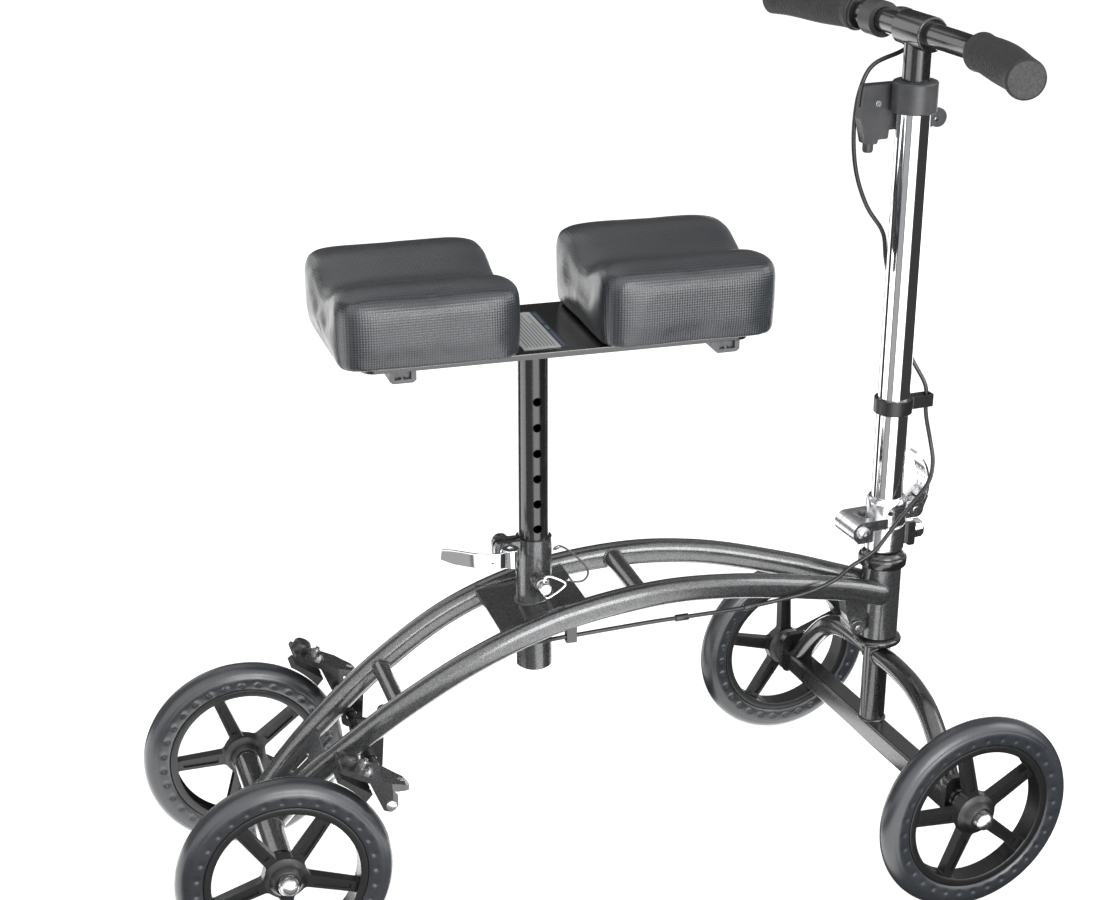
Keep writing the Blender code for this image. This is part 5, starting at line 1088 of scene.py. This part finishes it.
for tag, s in (("left", 1), ("right", -1)):
    piece("brake_dial_" + tag, "brake_arms", BLACKPL, [lathe([(0, 0), (7.6, 0), (9.0, 1.3), (9.2, 3.0), (9.2, 8.0), (8.6, 10.0), (6.8, 11.8), (3.4, 12.8), (0, 13.0)], (60.2, s * 117, 205.0), (0.45, 0, 0.89), 48)])
    for i, (bx, bz, yo) in enumerate(((78.0, 197.0, -9), (78.0, 197.0, 9))):
        piece("brake_nut_%s_%d" % (tag, i), "brake_arms", ZINC, [lathe([(0, 0), (4.6, 0), (4.6, 3.0), (0, 3.4)], (bx, s * 117 + yo, bz), (0.45, 0, 0.89), 6), rod((bx, s * 117 + yo, bz), (bx + 2.6, s * 117 + yo, bz + 5.2), 2.2, 20)], bev=0.25)
    piece("nose_rivet_" + tag, "brake_arms", ZINC, [lathe([(0, -0.6), (3.4, -0.6), (3.3, 0.6), (2.2, 1.5), (0, 1.8)], (108.8, s * 117, 181.0), (0.483, 0, 0.875), 28)])
    piece("brake_spring_" + tag, "brake_arms", STEEL, [sweep([Vector((BRAKE_X + 6.6 * math.cos(w_), s * (84.0 + 7.5 * w_ / (2 * math.pi * 5)), BRAKE_Z + 6.6 * math.sin(w_))) for w_ in [2 * math.pi * 5 * k / 150.0 for k in range(151)]], 0.75, 0.75, 8, side=(0, 1, 0))])
    piece("brake_rivet_" + tag, "brake_arms", ZINC, [lathe([(0, 0), (5.2, 0), (5.0, 1.0), (3.4, 2.2), (0, 2.6)], (BRAKE_X, s * 132.6, BRAKE_Z), (0, s, 0), 32)])
    a = math.radians(52.0)
    d = Vector((math.cos(a), 0, math.sin(a)))
    t = Vector((-math.sin(a), 0, math.cos(a)))
    c = Vector((0, s * 117.0, 100))
    bm = bmesh.new()
    rings_ = []
    for yy in (-11.0, 11.0):
        row = []
        for k in range(17):
            b = math.radians(52 - 10 + 20 * k / 16.0)
            q = Vector((100.5 * math.cos(b) - BRAKE_X, 0, 100 + 100.5 * math.sin(b) - BRAKE_Z))
            q.rotate(Matrix.Rotation(math.radians(5.5), 3, 'Y'))
            row.append(Vector((BRAKE_X + q.x, s * 117.0 + yy, BRAKE_Z + q.z)))
        row += [c + d * 109.6 + t * 17 + Vector((0, yy, 0)), c + d * 110.5 - t * 17.0 + Vector((0, yy, 0))]
        rings_.append(row)
    loft(bm, rings_)
    piece("brake_block_" + tag, "brake_arms", RUBBER, [bm], [box((40, s * 117 - 1.2, 150), (110, s * 117 + 1.2, 178.2))], bev=0.6, rep=["brake_shoe_" + tag])

# =====================================================================
#  BRAKE CABLE
# =====================================================================
c5, s5 = math.cos(STEER_REST), math.sin(STEER_REST)
def front(x, y, z):
    return (STEER_X + x * c5 - y * s5, x * s5 + y * c5, z)
ROUTE = [front(26, 43.2, BZ - 4), front(22, 30, BZ - 9), front(2, 28, BZ - 22), front(-28, 29, BZ - 33),
         front(-40, 29, BZ - 54), front(-44, 29, BZ - 80), front(-43, 29, 690), front(-37, 29, 662), front(-25, 28, 634), front(-9, 24.5, 610), front(-5, 22.5, 583),
         front(8, 23, 540), front(22, 14, 492), front(35, 1.6, 462), front(36, 0, 446.5), front(37, -1.2, 430), front(42, -4, 405), front(42, -12, 385),
         front(32, -22, 368), front(10, -30, 352), front(-14, -36, 332), front(-34, -40, 314),
         (574, -44, 301), (556, -48, 291), (530, -47, 281), (500, -46, 276), (460, -47, 273), (420, -49, 273), (370, -51, 273), (320, -52, 271.4), (300, -52, 270.4), (278, -52, 269.4),
         (255, -46, 265), (232, -41.5, 266), (205, -41, 257), (175, -39.3, 240), (150, -35.5, 222), (136, -29, 208), (129, -20, 202),
         (123, -6, 197), (119.5, 9, 190), (118.6, 18.5, 182), (118.5, 22.2, 174)]
cab = smooth_path(spline(ROUTE, 520), 4)
def nearest(p):
    p = Vector(p)
    return min(range(len(cab)), key=lambda i: (cab[i] - p).length)

# the housing is cut where each joint has been passed; the lengths that cross a joint are left on no body
K_STRAP = nearest(front(36, 0, 446.5))
K_FORK = nearest(front(-34, -40, 314))
K_FRAME = nearest((530, -47, 281))
for nm, a, b, bodies, st, en in (
        ("cable_upper", 0, K_STRAP, ("handlebars", "column"), front(0, 26, 640), front(0, 26, 470)),
        ("cable_middle", K_STRAP, K_FORK, ("column", "front_end"), front(42, -4, 400), front(-10, -35, 336)),
        ("cable_turn", K_FORK, K_FRAME, ("front_end", "frame"), front(-36, -40.5, 312), (536, -47, 283))):
    seg = cab[max(a - 1, 0):b + 2]
    o = piece(nm, None, CABLE, [sweep(seg, 2.05, 2.05, 16, side=(0.35, 0.93, 0.1))], rep=["brake_cable"])
    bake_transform(o)
piece("cable_lower", "frame", CABLE, [sweep(cab[K_FRAME - 1:], 2.05, 2.05, 16, side=(0.35, 0.93, 0.1))], rep=["brake_cable"])
piece("cable_ferrule_top", "handlebars", ZINC, [rod(tuple(cab[1]), tuple(cab[9]), 2.75, 24, cham=0.4)])
for k_, xx in enumerate((470, 400)):
    i_ = nearest((xx, -48, 273))
    piece("cable_clip_%d" % k_, "frame", BLACKPL, [rod(tuple(cab[i_ - 3]), tuple(cab[i_ + 3]), 3.3, 24, cham=0.5)])
piece("cable_end_low", "frame", ZINC, [rod(tuple(cab[-16]), tuple(cab[-2]), 2.7, 24, cham=0.4)])
piece("cable_wire_low", "frame", STEEL, [rod(tuple(cab[-2]), (118.5, 22.2, 170.6), 0.8, 12)])

# =====================================================================
#  WHEELS
# =====================================================================
def tyre_mesh(c):
    half = [(75.2, 10.2), (76.0, 11.0), (77.0, 11.7), (78.2, 12.2), (79.4, 12.5), (80.6, 12.7), (81.8, 12.8), (83.0, 12.9), (84.2, 13.0), (85.6, 13.0), (87.2, 12.85),
            (88.6, 12.5), (89.6, 12.1), (90.2, 11.75), (90.9, 11.6), (92.2, 11.1), (94.0, 10.0), (95.8, 8.6), (97.3, 6.8), (98.6, 4.6), (99.4, 2.3), (99.7, 0.0)]
    prof = half + [(r, -h) for r, h in reversed(half[:-1])]
    N = 288
    bm = bmesh.new()
    rows = []
    dim = 32
    for r, h in prof:
        row = []
        for i in range(N):
            a = 2 * math.pi * i / N
            off = 0.0
            if 76.5 < r < 88.0:
                k = round(a / (2 * math.pi / dim))
                da = a - k * 2 * math.pi / dim
                d = math.hypot(da * 81.8, r - 81.8)
                if d < 4.6:
                    off = 1.5 * (0.5 + 0.5 * math.cos(math.pi * d / 4.6))
            hh = h - math.copysign(off, h)
            row.append(bm.verts.new(c + Vector((r * math.cos(a), hh, r * math.sin(a)))))
        rows.append(row)
    m = len(rows)
    for k in range(m):
        a_, b_ = rows[k], rows[(k + 1) % m]
        for i in range(N):
            j = (i + 1) % N
            bm.faces.new((a_[i], a_[j], b_[j], b_[i]))
    return bm

def window(k, spoke0, hw_in, hw_out, r0, r1):
    """Opening between two spokes, corners rounded."""
    a0 = math.radians(spoke0 + 72.0 * k)
    a1 = a0 + math.radians(72.0)
    def edge(ang, sign, r, hw):
        d = Vector((math.cos(ang), math.sin(ang)))
        s = Vector((-math.sin(ang), math.cos(ang))) * sign
        along = math.sqrt(max(r * r - hw * hw, 1))
        return d * along + s * hw
    pts = []
    p00 = edge(a0, 1, r0, hw_in); p01 = edge(a0, 1, r1, hw_out)
    p11 = edge(a1, -1, r1, hw_out); p10 = edge(a1, -1, r0, hw_in)
    ang01, ang11 = math.atan2(p01.y, p01.x), math.atan2(p11.y, p11.x)
    if ang11 < ang01:
        ang11 += 2 * math.pi
    arc = [(r1 * math.cos(ang01 + (ang11 - ang01) * i / 14), r1 * math.sin(ang01 + (ang11 - ang01) * i / 14)) for i in range(1, 14)]
    poly = [(p00.x, p00.y), (p01.x, p01.y)] + arc + [(p11.x, p11.y), (p10.x, p10.y)]
    rad = [5.0, 7.0] + [0.0] * len(arc) + [7.0, 5.0]
    return fillet(poly, rad, 6)

def wheel_set(tag, centre, space, body, spoke0):
    c = Vector(centre)
    t_ = piece("tyre_ring_" + tag, body, TYRE, [tyre_mesh(c)], space=space, rep=["tyre_" + tag], smooth=60)
    # web disc with five openings, spokes kept 12 mm wide
    web = lathe([(0, -5.6), (60, -5.4), (70, -5.4), (70, 5.4), (60, 5.4), (0, 5.6)], c, (0, 1, 0), 120)
    cuts = []
    for k in range(5):
        out = window(k, spoke0, 6.2, 5.4, 21.5, 68.0)
        cuts.append(prism([(c.x + x, c.z + z) for x, z in out], c.y - 30, c.y + 30))
        # channel down both faces of the spoke
        ang = math.radians(spoke0 + 72.0 * k)
        d = Vector((math.cos(ang), 0, math.sin(ang))); sd = Vector((-math.sin(ang), 0, math.cos(ang)))
        for side in (1, -1):
            pts = []
            for r_, h_ in ((27.0, 3.2), (62.0, 2.7), (62.0, -2.7), (27.0, -3.2)):
                q = d * r_ + sd * h_
                pts.append((q.x + c.x, q.z + c.z))
            cuts.append(prism(fillet(pts, 1.6, 4), c.y + side * 3.4, c.y + side * 9.0))
    ringp = lathe([(67.6, -9.6), (69.0, -10.6), (73.4, -10.9), (74.6, -10.4), (75.1, -9.4), (75.1, 9.4), (74.6, 10.4), (73.4, 10.9), (69.0, 10.6), (67.6, 9.6)], c, (0, 1, 0), 120, 0.013)
    hub = lathe([(0, -15.5), (11.0, -15.5), (12.4, -15.0), (15.4, -10.6), (16.0, -9.2), (18.2, -7.4), (20.4, -6.0), (20.4, 6.0), (18.2, 7.4), (16.0, 9.2), (15.4, 10.6), (12.4, 15.0), (11.0, 15.5), (0, 15.5)], c, (0, 1, 0), 56)
    piece("wheel_rim_" + tag, body, RIM, [web, ringp, hub], cuts + [rod(c + Vector((0, -40, 0)), c + Vector((0, 40, 0)), 9.0, 36)], bev=0.9, seg=2, ang=40, space=space, rep=["rim_" + tag])
    for side in (1, -1):
        nm = "a" if side > 0 else "b"
        y = c.y + side * 14.6
        piece("bearing_%s_%s" % (tag, nm), body, ZINC, [lathe([(6.3, -2.2), (8.95, -2.2), (8.95, 0.5), (8.4, 0.8), (8.1, 0.8), (8.0, 0.3), (7.2, 0.3), (7.1, 0.8), (6.6, 0.8), (6.3, 0.5)],
              (c.x, y, c.z), (0, side, 0), 40)], space=space)

wheel_set("rear_left", (0, 117, 100), "F", "wheel_rear_left", 38)
wheel_set("rear_right", (0, -117, 100), "F", "wheel_rear_right", 54)
wheel_set("front_left", (0, 193, 100), "S", "wheel_front_left", 20)
wheel_set("front_right", (0, -193, 100), "S", "wheel_front_right", 31)

# =====================================================================
#  STAGE, LIGHT, CAMERA
# =====================================================================
def stage_floor():
    me = bpy.data.meshes.new("floor")
    bm = bmesh.new()
    bmesh.ops.create_grid(bm, x_segments=1, y_segments=1, size=9.0)
    bm.to_mesh(me); bm.free()
    ob = bpy.data.objects.new("floor", me)
    bpy.context.scene.collection.objects.link(ob)
    ob.location.z = -0.0006
    m = bpy.data.materials.new("studio_floor")
    m.use_nodes = True
    t = m.node_tree
    t.nodes.clear()
    out = t.nodes.new("ShaderNodeOutputMaterial")
    lp_ = t.nodes.new("ShaderNodeLightPath")
    geo = t.nodes.new("ShaderNodeNewGeometry")
    sep = t.nodes.new("ShaderNodeSeparateXYZ")
    t.links.new(geo.outputs["Position"], sep.inputs[0])
    dif = t.nodes.new("ShaderNodeBsdfDiffuse")
    dif.inputs["Color"].default_value = (0.88, 0.88, 0.88, 1)
    lift = t.nodes.new("ShaderNodeEmission")
    lift.inputs["Color"].default_value = (1, 1, 1, 1)
    lift.inputs["Strength"].default_value = 0.74
    add = t.nodes.new("ShaderNodeAddShader")
    t.links.new(dif.outputs[0], add.inputs[0]); t.links.new(lift.outputs[0], add.inputs[1])
    # what polished metal sees on the floor: white and dark cards laid round the set
    def mt(op, a, b=None):
        n_ = t.nodes.new("ShaderNodeMath"); n_.operation = op
        for i, v in enumerate((a, b)):
            if v is None: continue
            if isinstance(v, (int, float)): n_.inputs[i].default_value = v
            else: t.links.new(v, n_.inputs[i])
        return n_.outputs[0]
    ang = mt("ARCTAN2", sep.outputs[1], mt("SUBTRACT", sep.outputs[0], 0.12))
    def card(centre_deg, half_deg, soft_deg):
        c_ = math.radians(centre_deg)
        d_ = mt("ARCCOSINE", mt("COSINE", mt("SUBTRACT", ang, c_)))
        mr = t.nodes.new("ShaderNodeMapRange")
        mr.interpolation_type = 'SMOOTHSTEP'
        mr.inputs["From Min"].default_value = math.radians(half_deg + soft_deg)
        mr.inputs["From Max"].default_value = math.radians(half_deg)
        t.links.new(d_, mr.inputs["Value"])
        return mr.outputs["Result"]
    cards = [(card(*CARDS[0][:3]), CARDS[0][3])]
    tot = mt("MULTIPLY", cards[0][0], cards[0][1])
    for cc in CARDS[1:]:
        tot = mt("ADD", tot, mt("MULTIPLY", card(*cc[:3]), cc[3]))
    tot = mt("ADD", tot, FLOOR_DARK)
    gl = t.nodes.new("ShaderNodeEmission")
    cmb = t.nodes.new("ShaderNodeCombineColor")
    for i in range(3):
        t.links.new(tot, cmb.inputs[i])
    t.links.new(cmb.outputs[0], gl.inputs["Color"])
    soft = t.nodes.new("ShaderNodeEmission")
    soft.inputs["Color"].default_value = (1, 1, 1, 1)
    soft.inputs["Strength"].default_value = 0.42
    mc = t.nodes.new("ShaderNodeMixShader")
    t.links.new(lp_.outputs["Is Camera Ray"], mc.inputs[0])
    t.links.new(soft.outputs[0], mc.inputs[1])
    t.links.new(add.outputs[0], mc.inputs[2])
    mix = t.nodes.new("ShaderNodeMixShader")
    t.links.new(lp_.outputs["Is Glossy Ray"], mix.inputs[0])
    t.links.new(mc.outputs[0], mix.inputs[1])
    t.links.new(gl.outputs[0], mix.inputs[2])
    t.links.new(mix.outputs[0], out.inputs["Surface"])
    me.materials.append(m)
    return ob

# card direction (degrees from +X), half width, softness, brightness
CARDS = [(-186.0, 18.0, 8.0, 3.2), (-91.0, 20.0, 9.0, 3.2), (-139.0, 14.0, 8.0, 0.38), (52.0, 14.0, 10.0, 2.6), (108.0, 10.0, 10.0, 2.4)]
FLOOR_DARK = 0.05
stage_floor()

world = bpy.data.worlds.new("studio")
bpy.context.scene.world = world
world.use_nodes = True
wt = world.node_tree
wt.nodes.clear()
wo = wt.nodes.new("ShaderNodeOutputWorld")
lpw = wt.nodes.new("ShaderNodeLightPath")
tcw = wt.nodes.new("ShaderNodeTexCoord")
sw_ = wt.nodes.new("ShaderNodeSeparateXYZ")
wt.links.new(tcw.outputs["Generated"], sw_.inputs[0])
rmp = wt.nodes.new("ShaderNodeValToRGB")
rng_ = wt.nodes.new("ShaderNodeMapRange")
rng_.inputs["From Min"].default_value = 1.0
rng_.inputs["From Max"].default_value = -1.0
wt.links.new(sw_.outputs[1], rng_.inputs["Value"])
els = rmp.color_ramp.elements
els[0].position, els[0].color = 0.0, (0.015, 0.015, 0.015, 1)
els[1].position, els[1].color = 1.0, (0.70, 0.70, 0.70, 1)
for p_, v_ in ((0.07, 0.02), (0.11, 0.15), (0.46, 0.20), (0.49, 0.03), (0.55, 0.03), (0.60, 0.62), (0.90, 0.85)):
    e_ = els.new(p_); e_.color = (v_, v_, v_, 1)
wt.links.new(rng_.outputs[0], rmp.inputs["Fac"])
bg_g = wt.nodes.new("ShaderNodeBackground")
wt.links.new(rmp.outputs["Color"], bg_g.inputs["Color"])
bg_g.inputs["Strength"].default_value = 3.0
bg_d = wt.nodes.new("ShaderNodeBackground")
bg_d.inputs["Color"].default_value = (1.0, 1.0, 1.0, 1)
bg_d.inputs["Strength"].default_value = 0.36
bg_c = wt.nodes.new("ShaderNodeBackground")
bg_c.inputs["Color"].default_value = (1, 1, 1, 1)
bg_c.inputs["Strength"].default_value = 1.0
mx1 = wt.nodes.new("ShaderNodeMixShader")
wt.links.new(lpw.outputs["Is Glossy Ray"], mx1.inputs[0])
wt.links.new(bg_d.outputs[0], mx1.inputs[1]); wt.links.new(bg_g.outputs[0], mx1.inputs[2])
mx2 = wt.nodes.new("ShaderNodeMixShader")
wt.links.new(lpw.outputs["Is Camera Ray"], mx2.inputs[0])
wt.links.new(mx1.outputs[0], mx2.inputs[1]); wt.links.new(bg_c.outputs[0], mx2.inputs[2])
wt.links.new(mx2.outputs[0], wo.inputs["Surface"])

def area(name, loc, target, size, power, size_y=None):
    L = bpy.data.lights.new(name, 'AREA')
    L.energy = power
    L.shape = 'RECTANGLE'
    L.size = size
    L.size_y = size_y or size
    o = bpy.data.objects.new(name, L)
    bpy.context.scene.collection.objects.link(o)
    o.location = loc
    o.rotation_euler = (Vector(target) - Vector(loc)).to_track_quat('-Z', 'Y').to_euler()
    return o
area("key", (0.35, -2.5, 0.95), (0, 0, 0.40), 1.3, 40)
area("top", (-0.5, 0.9, 2.4), (0, 0, 0.3), 1.8, 9)
area("side", (2.1, -0.8, 1.4), (0, 0, 0.35), 1.1, 13)
area("back", (-1.2, 2.2, 1.3), (0, 0, 0.35), 1.3, 8)

cam = bpy.data.cameras.new("camera")
co_ = bpy.data.objects.new("camera", cam)
bpy.context.scene.collection.objects.link(co_)
bpy.context.scene.camera = co_
AZ, EL = math.radians(-16.42), math.radians(24.2)
back_ = Vector((math.sin(AZ) * math.cos(EL), -math.cos(AZ) * math.cos(EL), math.sin(EL)))
target_ = Vector((285.31 + ORIGIN_X, 0, 325.5)) * 0.001
co_.location = target_ + back_ * 2.00017
co_.rotation_euler = back_.to_track_quat('Z', 'Y').to_euler()
cam.sensor_fit = 'HORIZONTAL'
cam.sensor_width = 36.0
cam.lens = 2120.95 * 36.0 / 1116.0
cam.shift_x = (558.0 - 551.28) / 1116.0
cam.shift_y = (560.0 - 450.0) / 1116.0
cam.clip_start, cam.clip_end = 0.05, 60.0

bpy.context.scene.view_settings.view_transform = 'Standard'
bpy.context.scene.view_settings.look = 'None'
bpy.context.scene.view_settings.exposure = 0.0
bpy.context.scene.view_settings.gamma = 1.0
